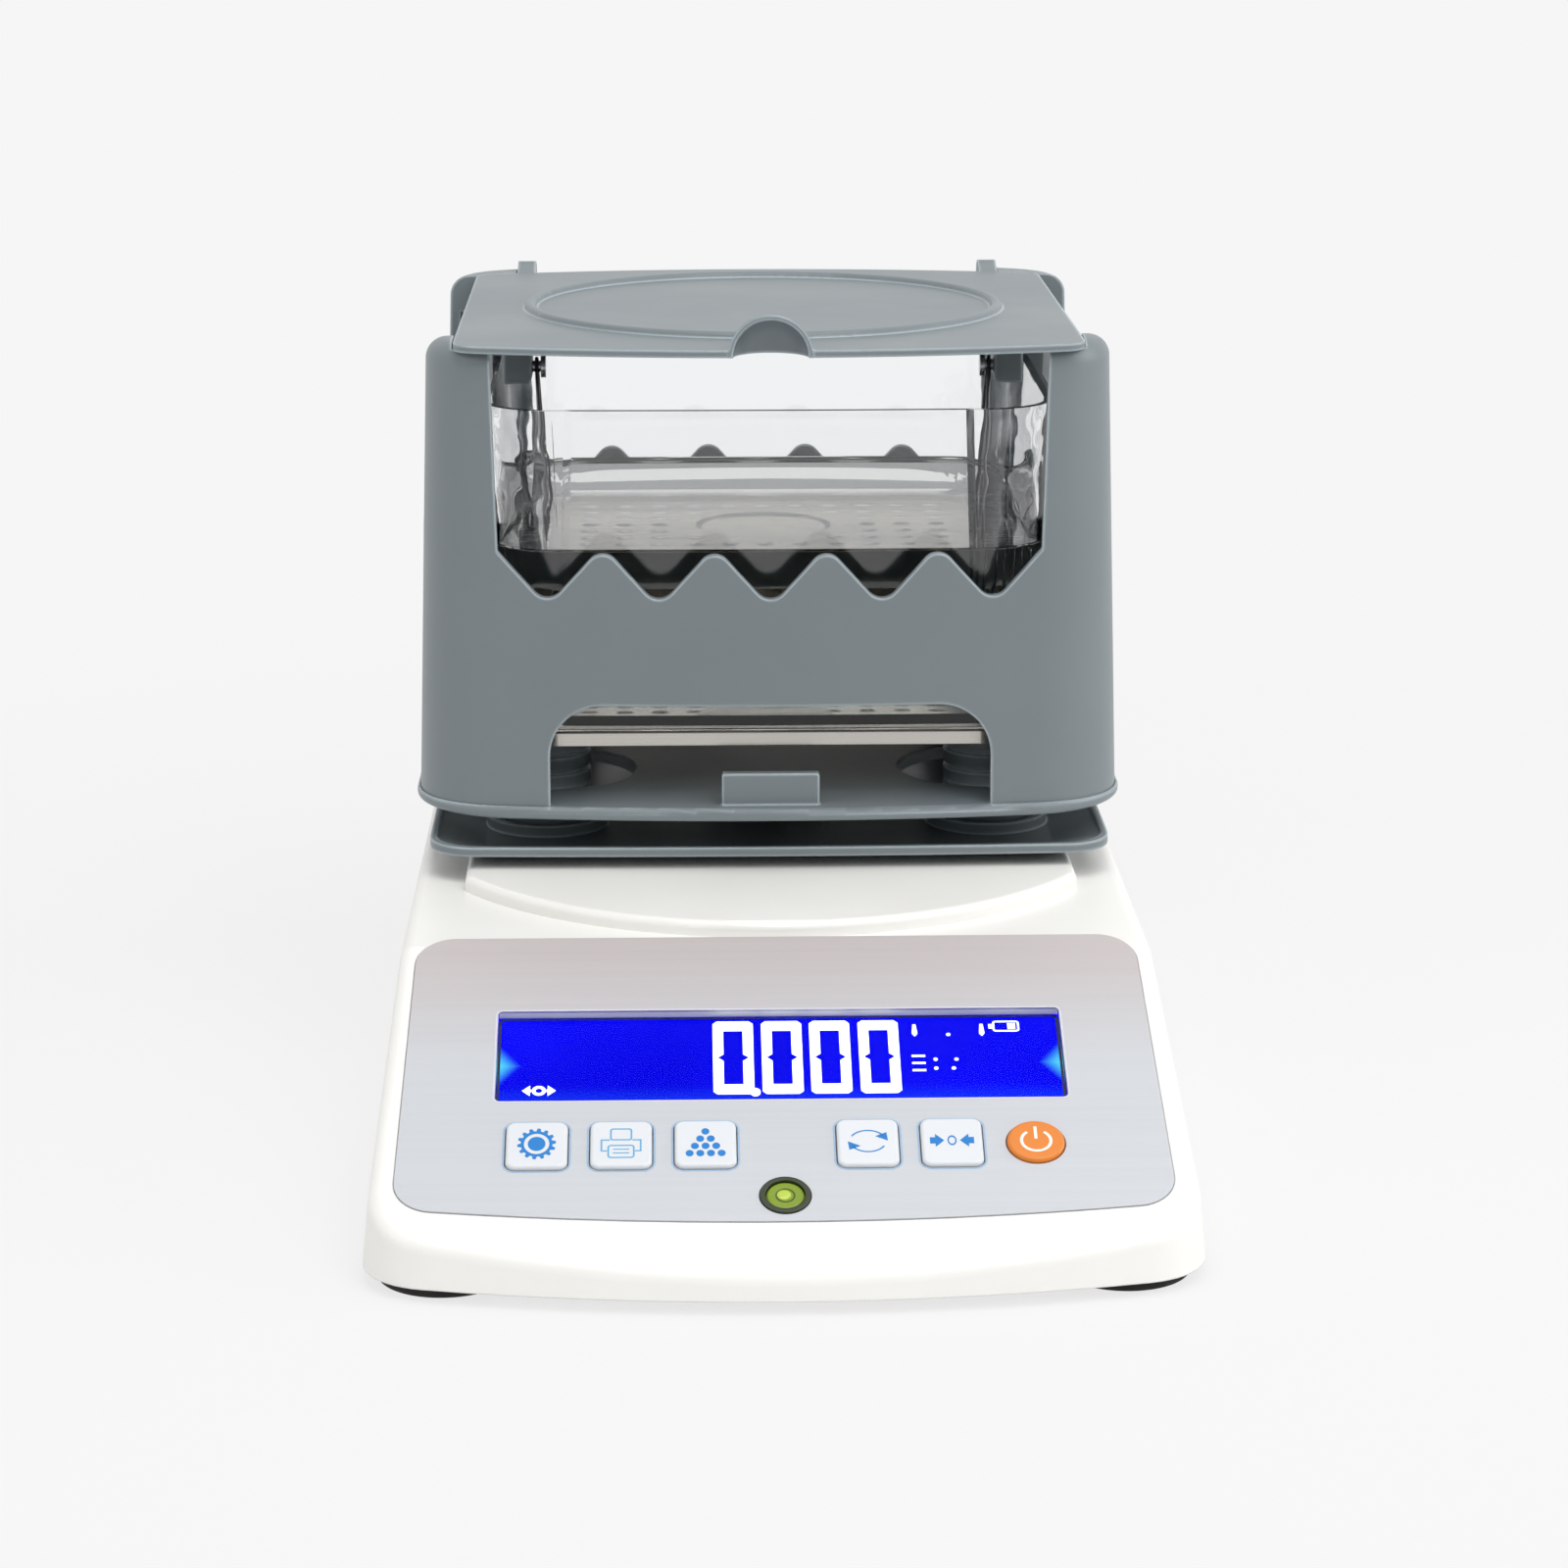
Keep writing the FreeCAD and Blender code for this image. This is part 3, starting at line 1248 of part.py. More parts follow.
def base_plate():
    """Grey plate of the frame: rounded flange, four wide holes, ribs, groove and front tab."""
    low = base_plate_z
    high = shell_bottom_z
    plate = flat(BASE_PLATE_PLAN, low, high)
    edges = edges_at_level(plate, low) + edges_at_level(plate, high)
    plate = plate.makeFillet(base_plate_round, edges)
    added = []
    rib_low = low - base_rib_height
    for way in (-1, 1):
        x0 = way * hub_flange_radius
        x1 = way * (base_plate_half_width - base_plate_corner / 2)
        added.append(block(min(x0, x1), max(x0, x1), stage_y - base_rib_width / 2,
                           stage_y + base_rib_width / 2, rib_low, low + base_plate_thickness / 2))
        y0 = stage_y + way * hub_flange_radius
        y1 = stage_y + way * (base_plate_half_depth - base_plate_corner / 2)
        added.append(block(-base_rib_width / 2, base_rib_width / 2, min(y0, y1), max(y0, y1),
                           rib_low, low + base_plate_thickness / 2))
    tab_y = stage_y - base_plate_half_depth + base_tab_inset
    tab = block(-base_tab_width / 2, base_tab_width / 2, tab_y, tab_y + base_tab_thickness,
                high - base_plate_thickness / 2, high + base_tab_height)
    added.append(round_edges(tab, Vector(0, 1, 0), base_plate_round / 2,
                             lambda e: e.Vertexes[0].Point.z > high))
    plate = plate.multiFuse(added)
    holes = [upright(x, y, rib_low - OVERRUN, high + OVERRUN, base_hole_radius) for x, y in post_places]
    holes.append(upright(0, stage_y, low - OVERRUN, low + hub_seat_height, hub_radius + join_gap))
    foot_z = high - groove_depth
    foot_ring = shell_walls(foot_z, high + OVERRUN, -join_gap).cut(
        shell_walls(foot_z - OVERRUN, high + OVERRUN, shell_wall + join_gap))
    holes.append(foot_ring.cut(arch_cutter()))
    return plate.cut(Part.makeCompound(holes)).removeSplitter()


def hood_profile(radius):
    """Half disc behind the lid's front edge, at the lid's under side."""
    y = stage_y - lid_front_reach
    arc = Part.Arc(Vector(radius, y, lid_bottom_z), Vector(0, y + radius, lid_bottom_z),
                   Vector(-radius, y, lid_bottom_z))
    chord = Part.LineSegment(Vector(-radius, y, lid_bottom_z), Vector(radius, y, lid_bottom_z))
    return Part.Face(Part.Wire([arc.toShape(), chord.toShape()]))


def hood_quarter(radius):
    """Quarter ball over that half disc, open to the front."""
    start = Vector(0, stage_y - lid_front_reach, lid_bottom_z)
    return hood_profile(radius).revolve(start, Vector(1, 0, 0), 90)


def lid():
    """Grey lid: bowed plate, raised ring, finger hood and two hinge knuckles."""
    plate = flat(LID_PLAN, lid_bottom_z, shell_top_z)
    ring_y = stage_y + ring_offset_y
    foot_in = Vector(ring_radius - ring_width, 0, shell_top_z)
    foot_out = Vector(ring_radius, 0, shell_top_z)
    crest = Vector(ring_radius - ring_width / 2, 0, shell_top_z + ring_height)
    bead = Part.Wire([Part.Arc(foot_in, crest, foot_out).toShape(),
                      Part.LineSegment(foot_out, foot_in).toShape()])
    ring = Part.Face(bead).revolve(Vector(0, 0, 0), Vector(0, 0, 1), 360)
    ring.translate(Vector(0, ring_y, 0))
    cuts = [hood_quarter(hood_radius - hood_wall)]
    well = hood_profile(hood_radius - hood_wall).extrude(Vector(0, 0, -OVERRUN))
    cuts.append(well)
    added = [ring, hood_quarter(hood_radius)]
    arm_y = knuckle_arm_y()
    for side in (-1, 1):
        x0 = side * hinge_x - knuckle_width / 2
        x1 = side * hinge_x + knuckle_width / 2
        barrel = along_x(x0, x1, hinge_y, hinge_z, knuckle_radius)
        arm = block(x0, x1, arm_y, hinge_y, lid_bottom_z, hinge_z + knuckle_radius)
        ramp = Part.Face(Part.makePolygon([
            Vector(x0, arm_y, shell_top_z),
            Vector(x0, hinge_y, hinge_z + knuckle_radius),
            Vector(x0, arm_y, hinge_z + knuckle_radius),
            Vector(x0, arm_y, shell_top_z)])).extrude(Vector(x1 - x0, 0, 0))
        added += [barrel, arm.cut(ramp)]
        cuts.append(along_x(x0 - OVERRUN, x1 + OVERRUN, hinge_y, hinge_z, hinge_pin_radius + thread_gap))
    return plate.multiFuse(added).cut(Part.makeCompound(cuts)).removeSplitter()


# The basket and what it hangs on

def basket_pegs():
    """Two headed pegs in the lugs."""
    pegs = []
    for side in (-1, 1):
        root = side * (lug_inner_x + lug_drop_thickness / 2)
        tip = side * (lug_inner_x - peg_length)
        head = side * (lug_inner_x - peg_length - peg_head_thickness)
        shank = along_x(min(root, tip), max(root, tip), stage_y, peg_z, peg_radius)
        knob = along_x(min(tip, head), max(tip, head), stage_y, peg_z, peg_head_radius)
        pegs.append(fuse([shank, knob]))
    return Part.makeCompound(pegs)


def basket():
    """Perforated tray with a turned-up rim and a round dish in the middle."""
    tray = rounded_block(basket_half_width, basket_half_depth, basket_z, basket_z + basket_rim,
                         basket_corner, 0, stage_y)
    tray = tray.makeFillet(basket_sheet, edges_at_level(tray, basket_z))
    hollow = rounded_block(basket_half_width - basket_sheet, basket_half_depth - basket_sheet,
                           basket_z + basket_sheet, basket_z + basket_rim + OVERRUN,
                           basket_corner - basket_sheet, 0, stage_y)
    dish = Part.makeCone(basket_dish_radius - basket_dish_depth / 2, basket_dish_radius,
                         basket_dish_depth, Vector(0, stage_y, basket_z - basket_dish_depth))
    dish_hollow = Part.makeCone(basket_dish_radius - basket_dish_depth / 2 - basket_sheet,
                                basket_dish_radius - basket_sheet, basket_dish_depth,
                                Vector(0, stage_y, basket_z - basket_dish_depth + basket_sheet))
    clear = basket_dish_radius + basket_hole_margin - basket_hole_radius
    count_x = int((basket_half_width - basket_hole_margin) / basket_hole_pitch)
    count_y = int((basket_half_depth - basket_hole_margin) / basket_hole_pitch)
    holes = []
    for i in range(-count_x, count_x + 1):
        for j in range(-count_y, count_y + 1):
            x = i * basket_hole_pitch
            y = j * basket_hole_pitch
            if math.hypot(x, y) > clear:
                holes.append(upright(x, stage_y + y, basket_z - OVERRUN, basket_z + OVERRUN / 2,
                                     basket_hole_radius))
    tray = tray.cut(hollow).fuse(dish).cut(dish_hollow)
    return tray.cut(Part.makeCompound(holes)).removeSplitter()


def basket_hangers():
    """Two wires, each over its peg and down to both ends of a side of the tray."""
    bend = peg_radius + peg_gap + wire_radius
    foot_z = basket_z + basket_rim / 2
    drop = peg_z - foot_z
    reach = math.hypot(wire_spread, drop)
    tilt = math.atan2(drop, wire_spread) + math.acos(bend / reach)
    touch_angle = math.pi - tilt
    wires = []
    for side in (-1, 1):
        x = side * (lug_inner_x - peg_length / 2)
        foot_x = side * (basket_half_width + wire_radius)
        pieces = []
        for way in (-1, 1):
            start = Vector(x, stage_y + way * bend * math.sin(touch_angle + math.pi / 2),
                           peg_z - bend * math.cos(touch_angle + math.pi / 2))
            foot = Vector(foot_x, stage_y + way * wire_spread, foot_z)
            run = foot - start
            pieces.append(Part.makeCylinder(wire_radius, run.Length, start, run))
        circle = Part.Wire(Part.makeCircle(wire_radius, Vector(x, stage_y, peg_z + bend), Vector(0, 1, 0)))
        half_turn = math.degrees(touch_angle + math.pi / 2)
        for way in (-1, 1):
            face = Part.Face(circle)
            pieces.append(face.revolve(Vector(x, stage_y, peg_z), Vector(way, 0, 0), 180 - half_turn))
        wires.append(fuse(pieces))
    return Part.makeCompound(wires)


def build():
    """Every piece by its name."""
    parts = {
        "base_shell": base_shell(),
        "top_housing": top_housing(),
        "panel_overlay": panel_overlay(),
        "display_window": display_window(),
        "lcd_module": lcd_module(),
        "key_board": key_board(),
        "tact_switches": tact_switches(),
        "main_board": main_board(),
        "level_cup": level_cup(),
        "level_vial": level_vial(),
        "load_cell": load_cell(),
        "load_cell_block": load_cell_block(),
        "load_cell_screws": load_cell_screws(),
        "weigh_carrier": weigh_carrier(),
        "weigh_hub": weigh_hub(),
        "battery_pack": battery_pack(),
        "battery_clamp": battery_clamp(),
        "power_jack": power_jack(),
        "serial_port": serial_port(),
        "housing_screws": housing_screws(),
        "board_screws": board_screws(),
        "foot_inserts": foot_inserts(),
        "drip_tray": drip_tray(),
        "post_screws": post_screws(),
        "support_plate": support_plate(),
        "water_tank": water_tank(),
        "base_plate": base_plate(),
        "shell": shell(),
        "lid": lid(),
        "hinge_pins": hinge_pins(),
        "basket_pegs": basket_pegs(),
        "basket": basket(),
        "basket_hangers": basket_hangers(),
    }
    for index, name in enumerate(key_names):
        parts[name] = key(index)
    corner_names = ["front_left", "front_right", "rear_left", "rear_right"]
    for corner, place in zip(corner_names, foot_places):
        parts["foot_screw_" + corner] = foot_screw(place)
        parts["foot_pad_" + corner] = foot_pad(place)
    for corner, place in zip(corner_names, post_places):
        parts["tank_post_" + corner] = tank_post(place)
    return parts


os.makedirs("parts", exist_ok=True)
for name, shape in build().items():
    shape.exportStep("parts/" + name + ".step")
    print(name, len(shape.Solids), "solids, valid", shape.isValid(), "volume", round(shape.Volume))
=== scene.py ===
import json
import math

import bmesh
import bpy
from mathutils import Matrix, Vector


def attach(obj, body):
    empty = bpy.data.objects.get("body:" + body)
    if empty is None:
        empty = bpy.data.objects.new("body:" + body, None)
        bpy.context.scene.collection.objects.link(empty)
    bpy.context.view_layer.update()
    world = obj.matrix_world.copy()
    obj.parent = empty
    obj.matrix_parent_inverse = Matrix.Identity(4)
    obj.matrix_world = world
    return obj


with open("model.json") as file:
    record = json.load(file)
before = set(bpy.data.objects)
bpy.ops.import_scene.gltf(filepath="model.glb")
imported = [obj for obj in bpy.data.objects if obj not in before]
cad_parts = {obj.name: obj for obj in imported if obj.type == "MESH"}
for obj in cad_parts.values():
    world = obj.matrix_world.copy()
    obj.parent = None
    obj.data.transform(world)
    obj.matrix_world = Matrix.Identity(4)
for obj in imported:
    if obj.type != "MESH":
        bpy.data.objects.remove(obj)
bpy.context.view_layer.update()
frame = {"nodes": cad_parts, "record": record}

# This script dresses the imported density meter: materials on its CAD nodes, prints on the panel
# and the keys, lit signs on the display, the level's bubble and the water in the tank.

MM = 0.001

# Places of the CAD model that the dressing needs, in millimetres
PANEL_ANGLE = math.radians(24.5)
PANEL_TOP_Y = -61.3
DECK_Z = 63.5
OVERLAY_LEVEL = 0.3
KEY_TOP_LEVEL = 1.4
LCD_LEVEL = -2.5
DISPLAY_WIDTH = 142.0
DISPLAY_HEIGHT = 33.0
DISPLAY_DOWN = 52.0
KEY_ROW_DOWN = 85.1
KEY_X = [-60.3, -39.7, -19.1, 20.6, 41.2, 61.8]
KEY_NAMES = ["key_settings", "key_print", "key_confirm", "key_mode", "key_zero", "key_power"]
SQUARE_KEYS = 5
KEY_WIDTH = 15.1
KEY_HEIGHT = 16.3
KEY_CORNER = 2.4
LEVEL_DOWN = 102.7
STAGE_Y = 81.7
TANK_FLOOR_Z = 102.4
TANK_RIM_Z = 187.2
TANK_HALF_WIDTH = 75.0
TANK_HALF_DEPTH = 76.0
TANK_DRAFT = 3.0
TANK_WALL = 2.2
TANK_CORNER = 20.0
TANK_BOW = 2080.0

# Prints and lit segments, in millimetres
PRINT_LIFT = 0.01
PRINT_THICKNESS = 0.03
SEGMENT_LIFT = 0.08
SEGMENT_THICKNESS = 0.06
MERGE_DISTANCE = 0.01
CORNER_STEPS = 6
KEY_LINE_GAP = 0.35
KEY_LINE_WIDTH = 0.5
SIGN_STRETCH = 1.15

# The display's signs: sizes in millimetres, places as shares of its width and height
DIGITS_ACROSS = [0.417, 0.5035, 0.589, 0.676]
DIGITS_DOWN = 0.462
DIGIT_WIDTH = 10.2
DIGIT_HEIGHT = 27.0
DIGIT_STROKE_X = 2.65
DIGIT_STROKE_Y = 3.6
DIGIT_ROUND = 1.0
DIGIT_GAP = 0.04
POINT_PLACE = (0.4545, 0.85)
STABLE_PLACE = (0.075, 0.815)
BATTERY_PLACE = (0.905, 0.13)
TICK_PLACES = [(0.741, 0.17), (0.861, 0.17)]
DOT_PLACES = [(0.801, 0.22), (0.775, 0.5), (0.775, 0.6), (0.812, 0.5), (0.806, 0.6)]
BAR_PLACES = [(0.745, 0.46), (0.745, 0.54), (0.745, 0.62)]

# Bubble level, in millimetres
BUBBLE_PLACE = (-0.35, 0.2)
BUBBLE_RADIUS = 1.75
BUBBLE_HEIGHT = 0.3
BUBBLE_CORNERS = 32

# Water, in millimetres. It bites into the tank, so that no air shows between the two. The
# meniscus is given as pairs: a rise over the water line and a distance from the wall.
WATER_Z = 148.0
WATER_FLOOR_BITE = 0.2
WATER_WALL_BITE = 0.25
MENISCUS = [(1.0, -WATER_WALL_BITE), (0.5, 0.35), (0.2, 0.9), (0.05, 1.8), (0.0, 3.2)]
TANK_CORNER_STEPS = 10

# Patterns of the materials. The scales count per metre, the depths and bevels are in metres.
PATTERN_LOW = 0.3
PATTERN_HIGH = 0.7
MOTTLE_SCALE = 22.0
SPECKLE_SCALE = 900.0
SWELL_SCALE = 14.0
CLOUD_SCALE = 16.0
PAPER_SCALE = 3.0
BEVEL_SAMPLES = 4
EDGE_START = 0.995
EDGE_END = 0.8
GRAIN_DEPTH = 0.0002
BRUSH_DEPTH = 0.0001
BRUSH_BEVEL = 0.0003
LABEL_BEVEL = 0.0002
RIPPLE_DEPTH = 0.002

# The tank's corners are wavy from this distance on, |x| + |y| from its middle in millimetres
WAVY_FROM = 1.75 * TANK_HALF_WIDTH
WAVY_SPAN = 9.0
WAVY_SCALE = 48.0

# The painted sheen on the label fades between these distances down the panel, in millimetres
FADE_START_DOWN = 8.0
FADE_END_DOWN = 62.0

# The display's backlight, in millimetres from its middle
LAMP_GLOW_START = 64.5
LAMP_GLOW_END = 71.0
LAMP_GLOW_SLANT = 0.8
LOW_EDGE_START = -6.0
LOW_EDGE_END = -17.0
LOW_EDGE_SHARE = 0.6

# Surroundings, in metres. PALE is what the camera sees in the world and in the floor, where
# its share grows away from the object, so that the object's shadow shows round it.
PALE = 0.92
FLOOR_HALF_SIZE = 9.0
PALE_NEAR = 0.22
PALE_FAR = 0.7
PALE_SHARE_NEAR = 0.8
AMBIENT_BELOW = 0.28
AMBIENT_ABOVE = 0.62
MIRRORED_FRONT = 0.1
LAMP_TARGET = (0, 0, 0.1)
LAMPS = [
    {"name": "key_lamp", "place": (0.9, -1.1, 1.4), "size": 1.1, "power": 9.5},
    {"name": "top_lamp", "place": (0.1, -0.4, 1.8), "size": 1.2, "power": 11.4},
    {"name": "side_lamp", "place": (1.5, 0.0, 0.7), "size": 0.9, "power": 6.0},
    {"name": "fill_lamp", "place": (-1.3, -0.8, 1.0), "size": 0.9, "power": 3.5},
]
CAMERA_PLACE = (-0.02577, -1.09633, 0.36)
CAMERA_TILT = math.radians(75.905)
CAMERA_TURN = math.radians(-1.547)
CAMERA_LENS = 94.81
CAMERA_SENSOR = 36.0
CAMERA_REACH = 40.0

PANEL = (Matrix.Translation(Vector((0, PANEL_TOP_Y, DECK_Z)) * MM)
         @ Matrix.Rotation(PANEL_ANGLE, 4, "X"))


def panel_y(down):
    """The y in metres of a place at this distance down the panel."""
    return (PANEL_TOP_Y - down * math.cos(PANEL_ANGLE)) * MM


# Shader nodes

def srgb(red, green, blue):
    """A colour read as 0 to 255 values, made linear."""
    values = []
    for value in (red, green, blue):
        share = value / 255
        values.append(share / 12.92 if share <= 0.04045 else ((share + 0.055) / 1.055) ** 2.4)
    return (*values, 1.0)


def grey(level):
    """A linear grey."""
    return (level, level, level, 1.0)


def scaled(color, factor):
    """The same colour, lighter or darker."""
    return (*(min(1.0, c * factor) for c in color[:3]), 1.0)


def plug(tree, node, inputs):
    """Gives a node's inputs a value each, or a link where it is another node's output."""
    for key, value in inputs.items():
        if isinstance(value, bpy.types.NodeSocket):
            tree.links.new(value, node.inputs[key])
        else:
            node.inputs[key].default_value = value


def add(tree, kind, inputs, **settings):
    """A new node with its settings and inputs."""
    node = tree.nodes.new(kind)
    for name, value in settings.items():
        setattr(node, name, value)
    plug(tree, node, inputs)
    return node


def new_material(name, color, roughness, metallic=0.0):
    """A material with its plain values, its node tree and its shader."""
    material = bpy.data.materials.new(name)
    material.use_nodes = True
    tree = material.node_tree
    shader = tree.nodes["Principled BSDF"]
    plug(tree, shader, {"Base Color": color, "Roughness": roughness, "Metallic": metallic})
    return material, tree, shader


def coordinates(tree, stretch=(1, 1, 1), turn=0.0):
    """Object coordinates, stretched and turned about x, for a pattern that has no seams."""
    source = add(tree, "ShaderNodeTexCoord", {})
    mapping = add(tree, "ShaderNodeMapping", {
        "Vector": source.outputs["Object"],
        "Scale": stretch,
        "Rotation": (turn, 0, 0),
    })
    return mapping.outputs["Vector"]


def axes(tree, coordinate):
    """The x, y and z of a texture coordinate."""
    source = add(tree, "ShaderNodeTexCoord", {})
    return add(tree, "ShaderNodeSeparateXYZ", {"Vector": source.outputs[coordinate]}).outputs


def noise(tree, vector, scale, detail, roughness=0.5):
    """A noise pattern."""
    texture = add(tree, "ShaderNodeTexNoise", {
        "Vector": vector,
        "Scale": scale,
        "Detail": detail,
        "Roughness": roughness,
    })
    return texture.outputs["Fac"]


def map_range(tree, value, start, end, low=0.0, high=1.0, interpolation="LINEAR"):
    """Maps start to low and end to high, and holds them beyond."""
    node = add(tree, "ShaderNodeMapRange", {
        "Value": value,
        "From Min": start,
        "From Max": end,
        "To Min": low,
        "To Max": high,
    }, interpolation_type=interpolation)
    return node.outputs["Result"]


def spread(tree, pattern, low=0.0, high=1.0):
    """Maps a pattern's middle range to low and high."""
    return map_range(tree, pattern, PATTERN_LOW, PATTERN_HIGH, low, high)


def tint(tree, factor, first, second, blend="MIX"):
    """A colour between two, or blended from them in another way."""
    node = add(tree, "ShaderNodeMix", {
        "Factor": factor,
        "A": first,
        "B": second,
    }, data_type="RGBA", blend_type=blend)
    return node.outputs["Result"]


def math_node(tree, operation, *values):
    """The result of one calculation."""
    return add(tree, "ShaderNodeMath", dict(enumerate(values)), operation=operation).outputs["Value"]


def vector_node(tree, operation, *values):
    """The outputs of one calculation with vectors."""
    return add(tree, "ShaderNodeVectorMath", dict(enumerate(values)), operation=operation).outputs


def rounded_normal(tree, radius):
    """The surface's direction, as if its edges had this radius."""
    edge = add(tree, "ShaderNodeBevel", {"Radius": radius})
    edge.samples = BEVEL_SAMPLES
    return edge.outputs["Normal"]


def relief(tree, shader, height, strength, depth, bevel=0.0):
    """Fine relief, over edges that look a little rounded where a bevel is given."""
    inputs = {"Height": height, "Strength": strength, "Distance": depth}
    if bevel:
        inputs["Normal"] = rounded_normal(tree, bevel)
    bump = add(tree, "ShaderNodeBump", inputs)
    plug(tree, shader, {"Normal": bump.outputs["Normal"]})


def edge_share(tree, radius):
    """How near a sharp edge is, from 0 to 1."""
    surface = add(tree, "ShaderNodeNewGeometry", {}).outputs["Normal"]
    agree = vector_node(tree, "DOT_PRODUCT", rounded_normal(tree, radius), surface)["Value"]
    return map_range(tree, agree, EDGE_START, EDGE_END)


# Materials

def moulded(name, color, roughness=0.42, grain=1400.0, strength=0.12, bevel=0.0005, mottle=0.035,
            painted_edge_highlight=1.0):
    """Moulded plastic: fine grain, a little mottling and rounded edges, with a painted highlight
    that lightens the colour along sharp edges by the given factor.
    """
    material, tree, shader = new_material(name, color, roughness)
    vector = coordinates(tree)
    broad = noise(tree, vector, MOTTLE_SCALE, detail=4.0)
    fine = noise(tree, vector, grain, detail=2.0)
    surface = tint(tree, spread(tree, broad), scaled(color, 1 - mottle), scaled(color, 1 + mottle))
    # Painted highlight: the colour is lightened along sharp edges.
    if painted_edge_highlight != 1.0:
        surface = tint(tree, edge_share(tree, bevel), surface, scaled(color, painted_edge_highlight))
    plug(tree, shader, {
        "Base Color": surface,
        "Roughness": spread(tree, broad, roughness - 0.04, roughness + 0.05),
    })
    relief(tree, shader, fine, strength, GRAIN_DEPTH, bevel)
    return material


def brush_lines(tree, stretch, turn=0.0):
    """Long fine lines."""
    return noise(tree, coordinates(tree, stretch, turn), scale=1.0, detail=4.0, roughness=0.7)


def brushed(name, color, roughness=0.3, stretch=(6, 900, 900), strength=0.1):
    """Brushed metal: its lines show in colour, roughness and relief."""
    material, tree, shader = new_material(name, color, roughness, metallic=1.0)
    lines = brush_lines(tree, stretch)
    plug(tree, shader, {
        "Base Color": tint(tree, spread(tree, lines), scaled(color, 0.93), scaled(color, 1.05)),
        "Roughness": spread(tree, lines, roughness - 0.07, roughness + 0.08),
    })
    relief(tree, shader, lines, strength, BRUSH_DEPTH, BRUSH_BEVEL)
    return material


def silver_label():
    """Finely brushed silver print with a painted sheen: warm grey along the top and paler towards
    the keys.
    """
    material, tree, shader = new_material("silver_label", srgb(224, 221, 224), 0.4, metallic=0.2)
    lines = brush_lines(tree, stretch=(5, 700, 700), turn=-PANEL_ANGLE)
    fade = map_range(tree, axes(tree, "Object")["Y"], panel_y(FADE_START_DOWN),
                     panel_y(FADE_END_DOWN), interpolation="SMOOTHSTEP")
    # Painted reflection: warm grey near the top of the label, paler further down.
    painted_sheen = tint(tree, fade, srgb(196, 188, 188), srgb(201, 204, 209))
    streaks = tint(tree, spread(tree, lines), grey(0.95), grey(1.0))
    plug(tree, shader, {
        "Base Color": tint(tree, 1.0, painted_sheen, streaks, blend="MULTIPLY"),
        "Roughness": spread(tree, lines, 0.34, 0.46),
    })
    relief(tree, shader, lines, 0.05, BRUSH_DEPTH, LABEL_BEVEL)
    return material


def corner_waves(tree, vector):
    """A coarse pattern in the tank's corners, and none on its flat walls."""
    centred = vector_node(tree, "SUBTRACT", vector, (0, STAGE_Y * MM, 0))["Vector"]
    sizes = vector_node(tree, "ABSOLUTE", centred)["Vector"]
    reach = vector_node(tree, "DOT_PRODUCT", sizes, (1, 1, 0))["Value"]
    share = map_range(tree, reach, WAVY_FROM * MM, (WAVY_FROM + WAVY_SPAN) * MM)
    return math_node(tree, "MULTIPLY", noise(tree, vector, WAVY_SCALE, detail=2.0), share)


def clear(name, color, ior, roughness, ripple, specular=0.5, wavy_corners=False):
    """Clear plastic or water, faintly uneven all over, or wavy in the tank's corners."""
    material, tree, shader = new_material(name, color, roughness)
    plug(tree, shader, {
        "Transmission Weight": 1.0,
        "IOR": ior,
        "Specular IOR Level": specular,
    })
    vector = coordinates(tree)
    if wavy_corners:
        height = corner_waves(tree, vector)
    else:
        height = noise(tree, vector, SWELL_SCALE, detail=2.0)
    relief(tree, shader, height, ripple, RIPPLE_DEPTH)
    return material


def printed(name, color, roughness=0.5, glow=0.0):
    """Printed ink with a trace of mottling, or a lit segment where it glows."""
    material, tree, shader = new_material(name, color, roughness)
    speckle = noise(tree, coordinates(tree), SPECKLE_SCALE, detail=2.0)
    ink = tint(tree, spread(tree, speckle), scaled(color, 0.95), scaled(color, 1.03))
    plug(tree, shader, {"Base Color": ink})
    if glow:
        plug(tree, shader, {"Emission Color": ink, "Emission Strength": glow})
    return material


def display_blue():
    """Blue backlight, brighter along the lower edge and cyan where the lamps sit at both ends."""
    unlit = scaled(srgb(14, 14, 246), 0.03)
    material, tree, shader = new_material("display_blue", unlit, 0.8)
    place = axes(tree, "Object")
    across = math_node(tree, "ABSOLUTE", place["X"])
    along = math_node(tree, "SUBTRACT", place["Y"], panel_y(DISPLAY_DOWN))
    away = math_node(tree, "MULTIPLY", math_node(tree, "ABSOLUTE", along), LAMP_GLOW_SLANT)
    lamp_glow = map_range(tree, math_node(tree, "SUBTRACT", across, away), LAMP_GLOW_START * MM,
                          LAMP_GLOW_END * MM, interpolation="SMOOTHSTEP")
    low_edge = map_range(tree, along, LOW_EDGE_START * MM, LOW_EDGE_END * MM, 0.0, LOW_EDGE_SHARE,
                         interpolation="SMOOTHSTEP")
    cloudy = noise(tree, coordinates(tree), CLOUD_SCALE, detail=2.0)
    light = tint(tree, spread(tree, cloudy), srgb(2, 2, 226), srgb(8, 8, 252))
    light = tint(tree, low_edge, light, srgb(26, 84, 255))
    light = tint(tree, lamp_glow, light, srgb(90, 225, 255))
    plug(tree, shader, {
        "Specular IOR Level": 0.0,
        "Emission Color": light,
        "Emission Strength": 1.0,
    })
    return material


